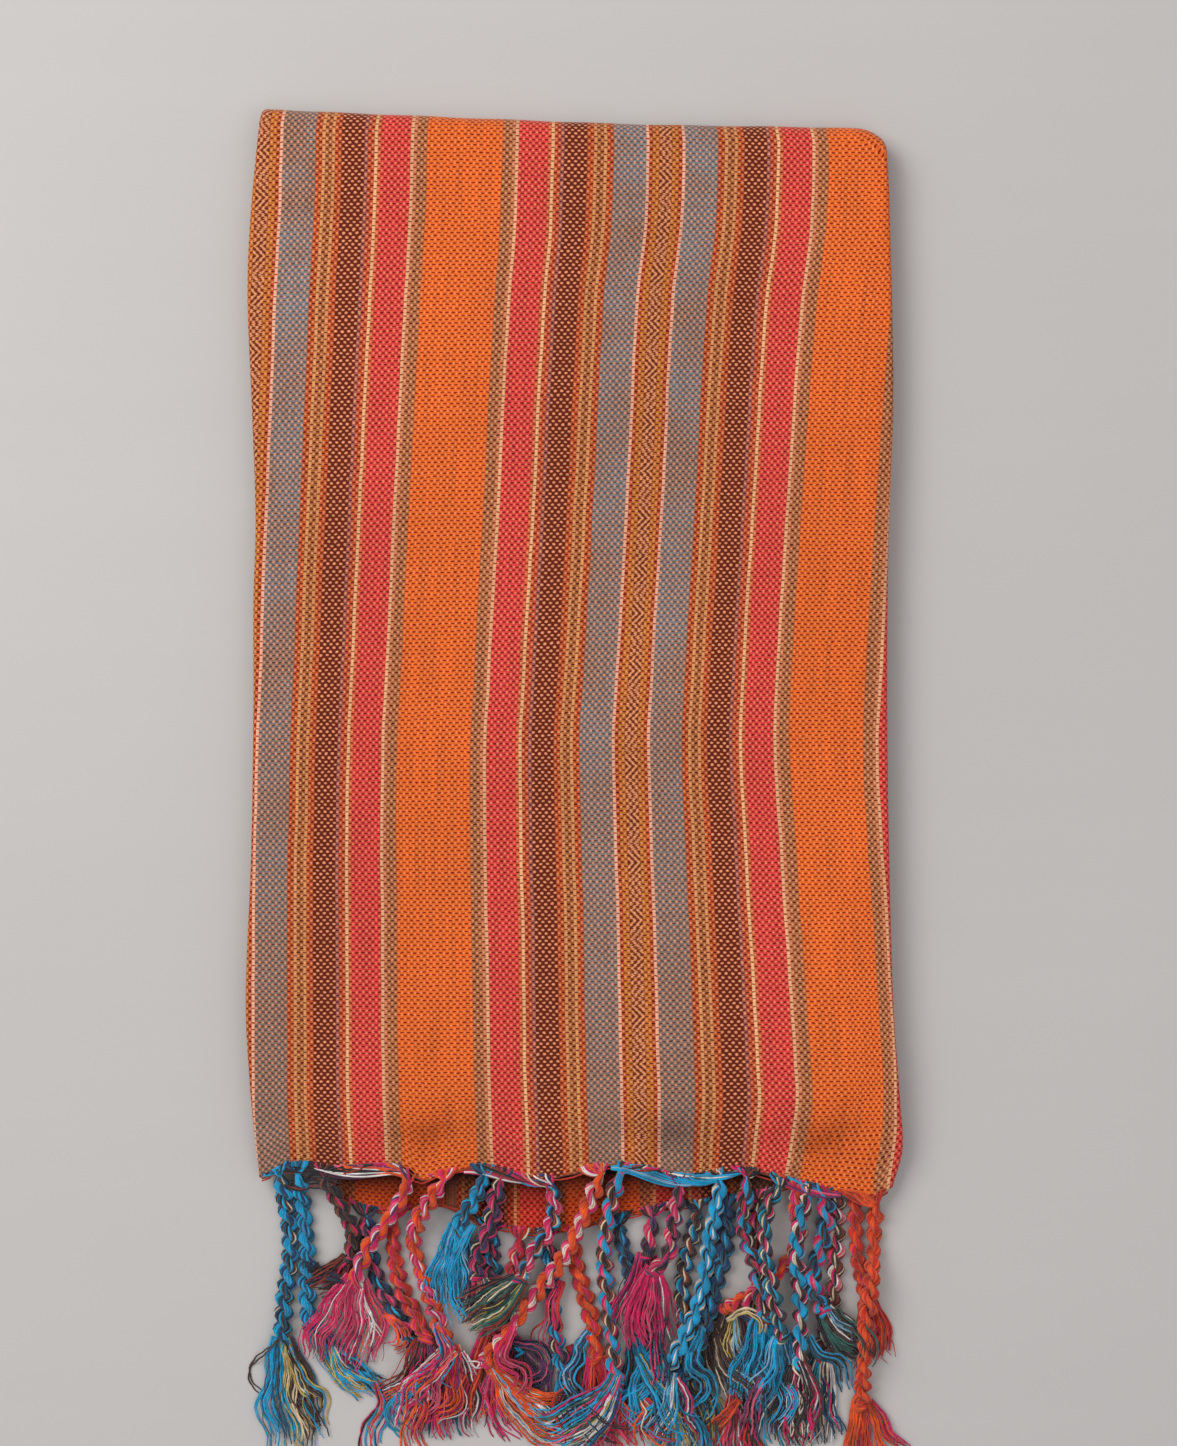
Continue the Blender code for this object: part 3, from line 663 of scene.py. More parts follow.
@dataclass(frozen=True)
class WovenFinish:
    """The scarf's plain weave: striped warp, light orange weft and a herringbone line."""

    name: str
    # Painted shade: how light this copy of the cloth is, below 1 where it lies in shade
    shade: float = 1.0
    end_pitch: float = 144.0 / 123.0
    pick_pitch: float = 1.3
    half_repeat: float = 72.0
    # How far the threads stray, in threads: slowly, and the picks in quick jolts too
    sway: float = 0.35
    jolt: float = 0.5
    roughness: float = 0.86
    sheen: float = 0.22
    relief: float = 0.35
    # The upper hem keeps the light off: up to how far down, and over what length it clears
    dim_from: Pair | None = None
    # The colour of the light that the cloth round it throws back
    glow: Colour = (255, 255, 255)
    sheen_tint: Colour = (255, 214, 190)
    # The depth between the threads, as a share of each light
    shadow: tuple[float, float, float, float] = (0.36, 0.2, 0.16, 1.0)
    weft: Colour = (246, 160, 116)
    # The grey stripe: its middle, half its width, its cooler patches and how far they show
    grey_middle: float = 12.7
    grey_half: float = 5.7
    cool_grey: Colour = (122, 152, 168)
    cool_share: float = 0.8
    # The herringbone: its two yarns, half its width, and the run and the slope of its strokes
    herringbone: tuple[Colour, Colour] = ((236, 164, 112), (100, 34, 12))
    line_half: float = 2.3
    line_share: float = 0.7
    turn_back: float = 3.4
    stroke_pitch: float = 2.3
    stroke_slope: float = 440.0
    stroke_share: float = 0.55
    # Millimetres from the herringbone's middle, and the warp's colour from there on
    stripes: tuple[tuple[float, Colour], ...] = (
        (0.0, (180, 88, 44)), (2.2, (200, 116, 44)), (4.2, (184, 72, 34)),
        (5.9, (240, 180, 150)), (7.0, (142, 112, 98)), (18.4, (190, 82, 36)),
        (21.3, (220, 156, 98)), (22.4, (170, 98, 50)), (24.6, (212, 146, 90)),
        (25.7, (192, 82, 36)), (28.1, (112, 36, 14)), (35.6, (160, 92, 90)),
        (37.4, (196, 80, 44)), (40.0, (244, 190, 140)), (41.1, (212, 96, 56)),
        (42.0, (226, 66, 64)), (52.4, (238, 180, 134)), (53.8, (204, 124, 84)),
        (54.6, (176, 108, 66)), (58.9, (240, 110, 36)),
    )

    def warp_colour(
        self, pot: DyePot, across: Socket, along: Socket, end_number: Socket
    ) -> tuple[Socket, Socket]:
        """The striped warp, with its grey stripe's cooler patches and the herringbone line.

        Args:
            pot: the finish in the making.
            across: the place across the cloth.
            along: the place along it.
            end_number: the number of the warp end.

        Returns:
            The colour, and whether the place is in the grey stripe.
        """
        half = self.half_repeat * MM
        middle = pot.times(pot.sum("ADD", end_number, 0.5), self.end_pitch * MM)
        off_line = pot.sum("PINGPONG", middle, half)
        stops = [(start / self.half_repeat, colour) for start, colour in self.stripes]
        warp = pot.card(pot.sum("DIVIDE", off_line, half), stops)

        cool = pot.line(pot.mottle(pot.solid, 45.0, 5.0), 2.4, -0.75, clamp=True)
        cooler_above = pot.line(pot.split("XYZ", pot.solid)[1], 2.0, 0.45, clamp=True)
        cool = pot.times(cool, pot.times(cooler_above, self.cool_share))
        in_grey = pot.sum("COMPARE", off_line, self.grey_middle * MM, self.grey_half * MM)
        warp = pot.blend(pot.times(in_grey, cool), warp, linear(self.cool_grey))

        off_middle = pot.sum("WRAP", across, half, -half)
        to_and_fro = pot.sum("PINGPONG", along, self.turn_back * MM)
        slant = pot.line(to_and_fro, 1 / (self.stroke_pitch * MM), pot.times(off_middle, self.stroke_slope))
        stroke = pot.sum("LESS_THAN", pot.sum("FRACT", slant), self.stroke_share)
        tooth = pot.blend(stroke, linear(self.herringbone[0]), linear(self.herringbone[1]))
        in_line = pot.sum("LESS_THAN", pot.sum("ABSOLUTE", off_middle), self.line_half * MM)
        return pot.blend(pot.times(in_line, self.line_share), warp, tooth), in_grey

    def worn_light(self, pot: DyePot, roundness: Socket) -> Socket:
        """How light the cloth is: its threads' roundness, its wear, painted shade in its hollows, and painted
        shade where it lies in shade or under the upper hem.

        Args:
            pot: the finish in the making.
            roundness: the light on the round threads.

        Returns:
            The light.
        """
        wear_and_hollow_shade = pot.span(pot.mottle(pot.solid, 16.0, 3.0), 0.8, 1.04)
        # Painted shade: the cloth is darker the deeper it lies in a crease or hollow
        hollow = pot.add("ShaderNodeAttribute", attribute_name="hollow").outputs["Fac"]
        wear_and_hollow_shade = pot.times(wear_and_hollow_shade, pot.line(hollow, 0.1, 1.0))
        light = pot.times(pot.times(roundness, wear_and_hollow_shade), self.shade)
        if self.dim_from:
            start, length = (part * MM for part in self.dim_from)
            below = pot.sum("SUBTRACT", -start, pot.split("XYZ", pot.solid)[1])
            light = pot.times(light, pot.line(below, 1 / length, 0.3, clamp=True))
        return light

    def make(self) -> Finish:
        """Weaves the finish.

        Returns:
            The material, which reads the piece's own map in metres of flat cloth.
        """
        pot = DyePot(self.name)
        where = pot.own_map()
        across, along, _ = pot.split("XYZ", where)
        ends, picks = 1 / (self.end_pitch * MM), 1 / (self.pick_pitch * MM)

        sway = pot.span(pot.mottle(pot.solid, 45.0), -self.sway, self.sway)
        jolt = pot.sum("ADD", sway, pot.span(pot.mottle(pot.solid, 330.0), -self.jolt, self.jolt))
        end, pick = pot.line(across, ends, sway), pot.line(along, picks, jolt)
        end_number = pot.sum("FLOOR", end)
        over_end, over_pick = pot.half_wave(end), pot.half_wave(pick)
        both = pot.sum("ADD", end_number, pot.sum("FLOOR", pick))
        side = pot.times(pot.line(pot.sum("FRACT", pot.times(both, 0.5)), -4.0, 1.0), over_end)
        float_rise = pot.sum("ADD", pot.line(side, 0.35, -0.35), over_pick)
        weft_up = pot.line(float_rise, 5.0, -2.3, clamp=True)
        dip = pot.line(pot.line(side, -0.15, over_pick), 9.0, -7.7, clamp=True)
        uneven_dips = pot.span(pot.drawn_out(where, (620.0, 700.0, 1.0)), 0.45, 1.6)
        dip = pot.times(dip, uneven_dips, clamp=True)

        warp, in_grey = self.warp_colour(pot, across, along, end_number)
        warp = pot.tint(warp, pot.span(pot.drawn_out(where, (ends, 30.0, 1.0)), 0.6, 1.4))
        weft = pot.tint(linear(self.weft), pot.span(pot.drawn_out(where, (24.0, picks, 1.0)), 0.5, 1.5))
        bright = pot.split("Color", warp)[0]
        paled = pot.line(in_grey, 0.22, pot.span(bright, 0.05, 0.65), clamp=True)
        weft = pot.blend(paled, weft, warp)
        deep = pot.add("ShaderNodeGamma")
        pot.feed(deep.inputs["Color"], warp)
        pot.feed(deep.inputs["Gamma"], 1.6)
        shadow = pot.tint(deep.outputs[0], self.shadow)
        depth = pot.times(dip, pot.times(bright, 3.0, clamp=True))
        colour = pot.blend(depth, pot.blend(weft_up, warp, weft), shadow)

        roundness = pot.times(pot.span(over_pick, 0.9, 1.03), pot.span(over_end, 0.9, 1.03))
        colour = pot.tint(colour, self.worn_light(pot, roundness))
        colour = pot.tint(colour, linear(self.glow))
        pot.emboss(pot.sum("SUBTRACT", float_rise, dip), self.relief, 0.4)
        return pot.pour(
            colour,
            {
                "Roughness": self.roughness,
                "Specular IOR Level": 0.18,
                "Sheen Weight": self.sheen,
                "Sheen Roughness": 0.45,
                "Sheen Tint": linear(self.sheen_tint),
            },
        )


class Dye(Enum):
    """The dyed yarns of the fringes, each with its letter and its colour."""

    TURQUOISE = ("T", (20, 164, 214))
    TEAL = ("E", (24, 92, 126))
    NAVY = ("N", (44, 60, 104))
    LIGHT_BLUE = ("L", (128, 178, 210))
    MAGENTA = ("M", (214, 30, 100))
    PINK = ("P", (232, 92, 124))
    ORANGE = ("O", (234, 88, 28))
    RED = ("R", (204, 48, 32))
    RUST = ("U", (142, 56, 38))
    CHARCOAL = ("K", (44, 38, 44))
    BROWN = ("B", (78, 50, 40))
    CREAM = ("C", (226, 204, 172))
    WHITE = ("W", (232, 226, 224))
    YELLOW = ("Y", (200, 176, 96))
    PURPLE = ("V", (104, 54, 100))
    GREEN = ("G", (48, 104, 96))

    @property
    def letter(self) -> str:
        """The dye's letter in the yarn lists."""
        return self.value[0]

    @property
    def colour(self) -> Colour:
        """The dye's colour, from 0 to 255."""
        return self.value[1]


@dataclass(frozen=True)
class YarnFinish:
    """Soft twisted cotton yarn of one dye."""

    dye: Dye
    roughness: float = 0.78
    sheen: float = 0.3
    # Turns of the twist along and across the yarn's map
    twist: Pair = (58.0, 2.0)
    relief: float = 0.5

    def make(self) -> Finish:
        """Spins the finish.

        Returns:
            The material, with the yarn's twist as relief and as painted shade, and its fibres and patches
            lighter and darker at random.
        """
        pot = DyePot("yarn_" + self.dye.name.lower())
        across, along, _ = pot.split("XYZ", pot.own_map())
        turn = pot.line(along, self.twist[0], pot.times(across, self.twist[1]))
        twist = pot.line(pot.sum("SINE", pot.times(turn, 2 * pi)), 0.5, 0.5)
        fibre, patch = pot.mottle(pot.solid, 1400.0), pot.mottle(pot.solid, 190.0)
        # Painted shade between the turns of the twist, times fibres and patches lighter and darker at random
        light = pot.times(pot.span(twist, 0.6, 1.2), pot.span(fibre, 0.7, 1.3))
        light = pot.times(light, pot.span(patch, 0.2, 1.8))
        pot.emboss(pot.times(twist, fibre), self.relief, 0.15)
        return pot.pour(
            pot.tint(linear(self.dye.colour), light),
            {
                "Roughness": self.roughness,
                "Specular IOR Level": 0.22,
                "Sheen Weight": self.sheen,
                "Sheen Roughness": 0.4,
            },
        )


@dataclass(frozen=True)
class BoardFinish:
    """The pale, almost plain board."""

    colour: Colour = (190, 188, 187)

    def make(self) -> Finish:
        """Paints the finish.

        Returns:
            The material, with the faintest clouding and brush marks.
        """
        pot = DyePot("pale_board")
        cloud = pot.span(pot.mottle(pot.solid, 3.5, 4.0), 0.95, 1.05)
        brush = pot.span(pot.drawn_out(pot.solid, (2.0, 60.0, 1.0), 3.0), 0.985, 1.015)
        colour = pot.tint(linear(self.colour), pot.times(cloud, brush))
        return pot.pour(colour, {"Roughness": 0.62, "Specular IOR Level": 0.25})


@dataclass
class OuterCloth:
    """The outer cloth: its hem, its side rolls and the part that goes round the top fold."""

    shape: FoldedShape
    chart: StripeChart
    thickness: float = 0.6
    columns: int = 112
    rows: int = 168
    roll_steps: int = 7
    wrap_steps: int = 14
    crowding: float = 0.45
    # How far the picks bow: in a long wave, and after the hem, which is straight at hem_mean
    bow: float = 1.4
    hem_bow: float = 0.7
    hem_mean: float = -133.0
    hem_reach: float = 20.0
    # The hem's last thread: how uneven it is, its two waves, and where it is even again
    hem_uneven: float = 0.35
    hem_waves: Pair = (2.1, 0.83)
    hem_share: float = 1 / 60
    fold_uneven: float = 0.12

    @property
    def radius(self) -> float:
        """The radius of the side rolls."""
        return self.shape.fold_pass / 2

    def sides(self, y: float) -> Pair:
        """The x where the left roll ends and the right roll starts.

        Args:
            y: the place along.

        Returns:
            The two places across.
        """
        left = smooth_value(self.shape.left_fold, y) + self.radius
        right = smooth_value(self.shape.right_fold, y) - self.radius
        return left, right

    def flat_place(self, x: float, way: float, y: float) -> Pair:
        """Where a point lies on the flat cloth, its picks following the hem near it.

        Args:
            x: the place across.
            way: the way round the roll, below zero at the left.
            y: the place along.

        Returns:
            The place across and along the flat cloth, in millimetres.
        """
        hem = smooth_value(self.shape.front_hem, x)
        near = exp(-((y - hem) / self.hem_reach) ** 2) if y > hem else 1.0
        bow = self.bow * sin(x / 60 + y / 90) + self.hem_bow * (hem - self.hem_mean) * near
        return self.chart.across(x, y) + way, y - bow

    def make(self, finish: Finish) -> Piece:
        """Makes and dresses the cloth.

        Args:
            finish: the woven finish.

        Returns:
            The thin shell that stands for the front cloth's solid.
        """
        shape = self.shape
        section = Bench.section(self.radius, shape.tuck, self.roll_steps, self.columns)
        rows, flats = [], []
        for j in range(self.rows + 1):
            share = j / self.rows
            rise = share * (1 - self.crowding + self.crowding * share)
            uneven = self.hem_uneven * max(0.0, 1 - share / self.hem_share)
            row, flat = [], []
            for place, out, depth, way in section:
                guess = shape.left_mean + place * (shape.right_mean - shape.left_mean) + out
                start = smooth_value(shape.front_hem, guess)
                y = start + rise * (shape.wrap_start(guess) - start)
                left, right = self.sides(y)
                x = left + place * (right - left)
                edge = uneven * sin(x * self.hem_waves[0]) * sin(x * self.hem_waves[1])
                fade = max(0.0, 1 - depth / self.radius)
                height = shape.front_height(x, y) + fade * shape.ripple(x, y)
                row.append(Vector((x + out, y + edge, height - depth)))
                flat.append(self.flat_place(x, way, y))
            rows.append(row)
            flats.append(flat)
        self.wrap(section, rows, flats)
        cloth = Bench.lay_grid("outer_cloth", rows, flats)
        Bench.thicken(cloth, self.thickness)
        self.mark_hollows(cloth)
        Bench.dress(cloth, finish, "striped_cloth")
        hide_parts("front_cloth")
        return cloth

    def wrap(self, section: Section, rows: list[list[Vector]], flats: list[list]) -> None:
        """Takes the cloth round the top fold.

        Args:
            section: the cloth's section.
            rows: the cloth's rows of points so far, which get the fold's rows.
            flats: where the points lie on the flat cloth, which get theirs.
        """
        shape = self.shape
        last_row, last_flat = rows[-1], flats[-1]
        for j in range(1, self.wrap_steps + 1):
            turn = shape.wrap_end * j / self.wrap_steps
            row, flat = [], []
            for (place, out, depth, _), point, (u, v) in zip(section, last_row, last_flat):
                reach = shape.fold_radius - depth
                left, right = self.sides(point.y + reach * sin(turn))
                x = left + place * (right - left) + out
                uneven = self.fold_uneven * sin(x / 5.0) * sin(turn)
                y = shape.wrap_start(point.x) + (reach + uneven) * sin(turn)
                row.append(Vector((x, y, shape.fold_radius + reach * cos(turn))))
                flat.append((u, v + shape.fold_radius * turn))
            rows.append(row)
            flats.append(flat)

    def mark_hollows(self, cloth: Piece) -> None:
        """Marks how deep in a hollow each point lies, in millimetres, for the painted shade in the hollows.

        Args:
            cloth: the cloth.
        """
        marks = cloth.data.attributes.new("hollow", "FLOAT", "POINT")
        for mark, corner in zip(marks.data, cloth.data.vertices):
            x, y = corner.co.x / MM, corner.co.y / MM
            if y < self.shape.wrap_start(x):
                mark.value = min(0.0, self.shape.ripple(x, y) + self.shape.swell(x, y))


@dataclass
class OtherEnd:
    """The cloth's other end, which shows below the upper hem."""

    shape: FoldedShape
    chart: StripeChart
    thickness: float = 0.6
    columns: int = 96
    rows: int = 26
    roll_steps: int = 4
    # How much its hem waves up and down, and its last thread along the cloth
    waving: Pair = (0.25, 0.2)
    hem_uneven: float = 0.3
    # How far the picks follow the hem, which is straight at hem_mean
    hem_bow: float = 0.6
    hem_mean: float = -146.0
    # x, and how far across the woven cloth that is, with a small pleat under the cords
    lines: tuple[Row, ...] = (
        (-120, 18.0), (-66, 72.0), (-48, 90.0), (-44, 162.0), (10, 216.0), (60, 266.0),
        (110, 316.0),
    )

    def make(self, finish: Finish) -> Piece:
        """Makes and dresses this end.

        Args:
            finish: the woven finish of the shaded end.

        Returns:
            The thin shell that stands for the under cloth's solid.
        """
        shape, radius = self.shape, self.shape.under_roll
        section = Bench.section(radius, shape.under_tuck, self.roll_steps, self.columns)
        rows, flats = [], []
        for j in range(self.rows + 1):
            rise = j / self.rows
            near_hem, last_thread = max(0.0, 1 - rise * 3), max(0.0, 1 - rise * 12)
            row, flat = [], []
            for place, out, depth, way in section:
                x = shape.under_left + place * (shape.under_right - shape.under_left)
                hem = smooth_value(shape.under_hem, x)
                y = hem + rise * (shape.under_start - hem)
                wave = self.waving[0] * sin(x / 3.1) + self.waving[1] * sin(x / 7.7 + 1.0)
                wave *= near_hem * max(0.0, 1 - depth / radius)
                edge = self.hem_uneven * sin(x * 2.3) * last_thread
                height = shape.under_height(x, y) + shape.dent(x, y) + wave
                row.append(Vector((x + out, y + edge, height - depth)))
                along = y - self.hem_bow * (hem - self.hem_mean)
                flat.append((level_value(self.lines, x) + way, along))
            rows.append(row)
            flats.append(flat)
        cloth = Bench.lay_grid("other_end", rows, flats)
        Bench.thicken(cloth, self.thickness)
        Bench.dress(cloth, finish, "striped_cloth")
        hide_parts("under_cloth")
        return cloth


@dataclass
class FoldedLayers:
    """The hidden layers as one rounded stack, with each folded edge standing out."""

    shape: FoldedShape
    chart: StripeChart
    columns: int = 40
    rows: int = 150
    groove: float = 1.2
    # How far a folded edge wanders, in a long wave and in a short one
    wander: Pair = (0.125, 0.06)
    # The turns of the loops that round off the near end and the nose, in degrees
    end_turns: tuple[int, ...] = (78, 60, 42, 22)
    nose_turns: tuple[int, ...] = (12, 30, 48, 66, 80)
    # The three passes from the lowest up: how far each fold stands in, left and right
    passes: tuple[Row, ...] = ((1.2, 0.7), (0.3, 1.8), (1.5, 0.4))
    # (inset, height) round one folded edge: an outer fold with the selvedge inside it
    fold: tuple[Row, ...] = (
        (0.75, 0.06), (0.34, 0.13), (0.1, 0.24), (0.0, 0.36), (0.06, 0.47), (0.5, 0.54),
        (0.55, 0.58), (0.12, 0.65), (0.02, 0.75), (0.2, 0.87), (0.7, 0.95),
    )

    def side_top(self, y: float) -> float:
        """The top of the folded edges, under the side rolls and the cloths.

        Args:
            y: the place along.

        Returns:
            Its height.
        """
        shape = self.shape
        lowest = min(shape.hidden_height(x, y) for x in range(-112, 113, 28)) - shape.gap
        rolled = min(shape.front_height(x, y) for x in (-112, 112))
        rolled -= shape.fold_pass + 2 * shape.gap
        return min(shape.fold_pass * (shape.pass_count - 1) - shape.gap, lowest, rolled)

    def edge(self, column: int) -> list[Pair]:
        """One side's folded edges, from the board up.

        Args:
            column: 0 for the left side, 1 for the right.

        Returns:
            (inset, share of the height) of each point.
        """
        insets = [row[column] for row in self.passes]
        points = [(insets[0] + self.groove, 0.0)]
        for index, inset in enumerate(insets):
            above = insets[min(index + 1, len(insets) - 1)]
            points += [(inset + out, index + rise) for out, rise in self.fold]
            points.append((max(inset, above) + self.groove, index + 1.0))
        return [(inset, rise / len(insets)) for inset, rise in points]

    def ring(self, y_of: Callable[[float], float], drawn_in: float = 0.0) -> list:
        """One loop round the stack.

        Args:
            y_of: the y of the loop at each x.
            drawn_in: how far it is drawn in from below and above, as a share of the height.

        Returns:
            (point, flat place) pairs, round the underside, the right edges, the top and the left.
        """
        shape = self.shape
        sides = []
        for table, sign, mean, column in (
            (shape.right_fold, -1, shape.right_mean, 1),
            (shape.left_fold, 1, shape.left_mean, 0),
        ):
            y = y_of(mean)
            top = self.side_top(min(y, shape.wrap_start(0.0)))
            base, reach = drawn_in * top, (1 - 2 * drawn_in) * top
            side = []
            for inset, rise in self.edge(column):
                wander = self.wander[0] * sin(y / 23 + 3 * rise) + self.wander[1] * sin(y / 7.1 + 9 * rise)
                x = smooth_value(table, y) + sign * (inset + 0.2 + wander)
                z = base + rise * reach
                side.append((Vector((x, y, z)), (self.chart.across(x, y) - sign * (12 + z), y)))
            sides.append(side)
        right, left = sides[0], list(reversed(sides[1]))
        ring = []
        for start, stop, upper in ((left[-1][0], right[0][0], False), (right[-1][0], left[0][0], True)):
            for i in range(1, self.columns):
                share = i / self.columns
                x = start.x + share * (stop.x - start.x)
                y = y_of(x)
                z = start.z + share * (stop.z - start.z)
                if upper:
                    level = min(y, shape.wrap_start(x))
                    cover = shape.hidden_height(x, level) + shape.dent(x, level)
                    edge_way = min(1.0, 4 * min(share, 1 - share))
                    z += max(0.0, cover * (1 - drawn_in) - z) * edge_way
                ring.append((Vector((x, y, z)), (self.chart.across(x, y), y)))
            ring += left if upper else right
        return ring

    def make(self, finish: Finish) -> Piece:
        """Makes and dresses the stack.

        Args:
            finish: the woven finish of the shaded layers.

        Returns:
            The closed stack that stands for the hidden layers' solid.
        """
        shape = self.shape
        end, start = shape.hidden_end, shape.hidden_end + shape.hidden_round
        nose = shape.fold_radius - shape.fold_pass - shape.gap
        rings = []
        for turn in map(radians, self.end_turns):
            y = end + shape.hidden_round * (1 - sin(turn))
            rings.append(self.ring(lambda x, y=y: y, (1 - cos(turn)) / 2))
        for j in range(self.rows + 1):
            share = j / self.rows
            rings.append(self.ring(lambda x, share=share: start + share * (shape.wrap_start(x) - start)))
        for turn in map(radians, self.nose_turns):
            out = nose * sin(turn)
            rings.append(self.ring(lambda x, out=out: shape.wrap_start(x) + out, (1 - cos(turn)) / 2))
        rows = [[point for point, _ in ring] + [ring[0][0]] for ring in rings]
        flats = [[flat for _, flat in ring] + [ring[0][1]] for ring in rings]
        stack = Bench.lay_grid("folded_layers", rows, flats)
        self.close_ends(stack)
        Bench.dress(stack, finish, "hidden_cloth")
        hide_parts("hidden_layers")
        return stack

    @staticmethod
    def close_ends(stack: Piece) -> None:
        """Joins the stack's seam and closes its near end and its nose.

        Args:
            stack: the open tube, alone in hand.
        """
        bpy.ops.object.mode_set(mode="EDIT")
        bpy.ops.mesh.select_mode(type="VERT")
        bpy.ops.mesh.select_all(action="SELECT")
        bpy.ops.mesh.remove_doubles(threshold=WELD)
        for near_end in (True, False):
            bpy.ops.mesh.select_all(action="DESELECT")
            bpy.ops.mesh.select_non_manifold()
            bpy.ops.object.mode_set(mode="OBJECT")
            for vertex in stack.data.vertices:
                vertex.select = vertex.select and (vertex.co.y < 0) == near_end
            bpy.ops.object.mode_set(mode="EDIT")
            bpy.ops.mesh.edge_face_add()
        bpy.ops.mesh.select_all(action="SELECT")
        bpy.ops.mesh.normals_make_consistent(inside=False)
        bpy.ops.object.mode_set(mode="OBJECT")
        bpy.ops.object.shade_smooth()


@dataclass(frozen=True)
class CordRow:
    """One cord: its places in millimetres, its width of gathered hem and its yarns."""

    root_x: float
    first: Pair
    second: Pair
    knot: Pair
    tip: Pair
    spread: float
    gather: Pair
    plies: str
    tassel: str


@dataclass
class Strand:
    """A cord or one lock of its tassel as the solids have it: route, radii and heights."""

    route: list[Vector]
    radii: list[float]
    heights: list[float] = field(default_factory=list)

    def points(self) -> list[Vector]:
        """The strand's places in space."""
        return [Vector((p.x, p.y, h)) for p, h in zip(self.route, self.heights)]


class Tassel:
    """A cord with its four locks, laid as the solids have them."""

    # The rings of a cord and of a lock, and the locks of a tassel
    CORD_RINGS, LOCK_RINGS, LOCKS = 9, 4, 4
    # The radii at the root, along the cord, at the knot and along a lock
    ROOT, CORD, KNOT, LOCK = 1.0, 2.3, 3.2, 1.2
    # How much of its width a lock fills, and how thin its tip is
    FILL, TIP = 0.42, 0.6
    # How wide the locks start, in knot radii, how far inside the knot, how far they bulge and
    # stay short, and how far they open half-way
    ROOT_WIDTH, INSIDE, BULGE, OPENING = 1.5, 0.8, 0.12, 0.25
    # Where along a lock its radii are given
    RADII_AT = (0.0, 0.4, 0.75, 1.0)

    def __init__(self, row: CordRow, root: Pair, floor: Callable) -> None:
        """Lays out the cord and its locks.

        Args:
            row: the cord's table row.
            root: (y, z) of its start in the strip along the hem.
            floor: the lowest height at a place for a radius.
        """
        self.row = row
        self.root_height = root[1]
        self.floor = floor
        places = [(row.root_x, root[0]), row.first, row.second, row.knot]
        route = through([Vector(place) for place in places], self.CORD_RINGS)
        radii = [self.CORD] * self.CORD_RINGS
        radii[0], radii[-2], radii[-1] = self.ROOT, (self.CORD + self.KNOT) / 2, self.KNOT
        self.cord = Strand(route, radii)
        self.locks = self.lay_locks()

    def lay_locks(self) -> list[Strand]:
        """The locks that fan out of the knot.

        Returns:
            The locks from one side to the other, without their heights.
        """
        knot, tip, spread = self.cord.route[-1], Vector(self.row.tip), self.row.spread
        heading = (tip - knot).normalized()
        leaving = (knot - self.cord.route[-2]).normalized()
        across = Vector((-heading.y, heading.x))
        root_across = Vector((-leaving.y, leaving.x))
        length, root_spread = (tip - knot).length, self.ROOT_WIDTH * self.KNOT
        widths = [root_spread * (1 - t) + spread * t for t in self.RADII_AT]
        radii = [min(self.LOCK, self.FILL * width / (self.LOCKS - 1)) for width in widths]
        radii[-1] *= self.TIP
        strands = []
        for i in range(self.LOCKS):
            side = i / (self.LOCKS - 1) - 0.5
            root = knot - leaving * self.INSIDE + root_across * side * root_spread
            short = self.BULGE * length * abs(side) * (1 + i % 2)
            end = tip + across * side * spread - heading * short
            middle = (root + end) / 2 + leaving * self.BULGE * length
            middle += across * side * self.OPENING * spread
            strands.append(Strand(through([root, middle, end], self.LOCK_RINGS), list(radii)))
        return strands


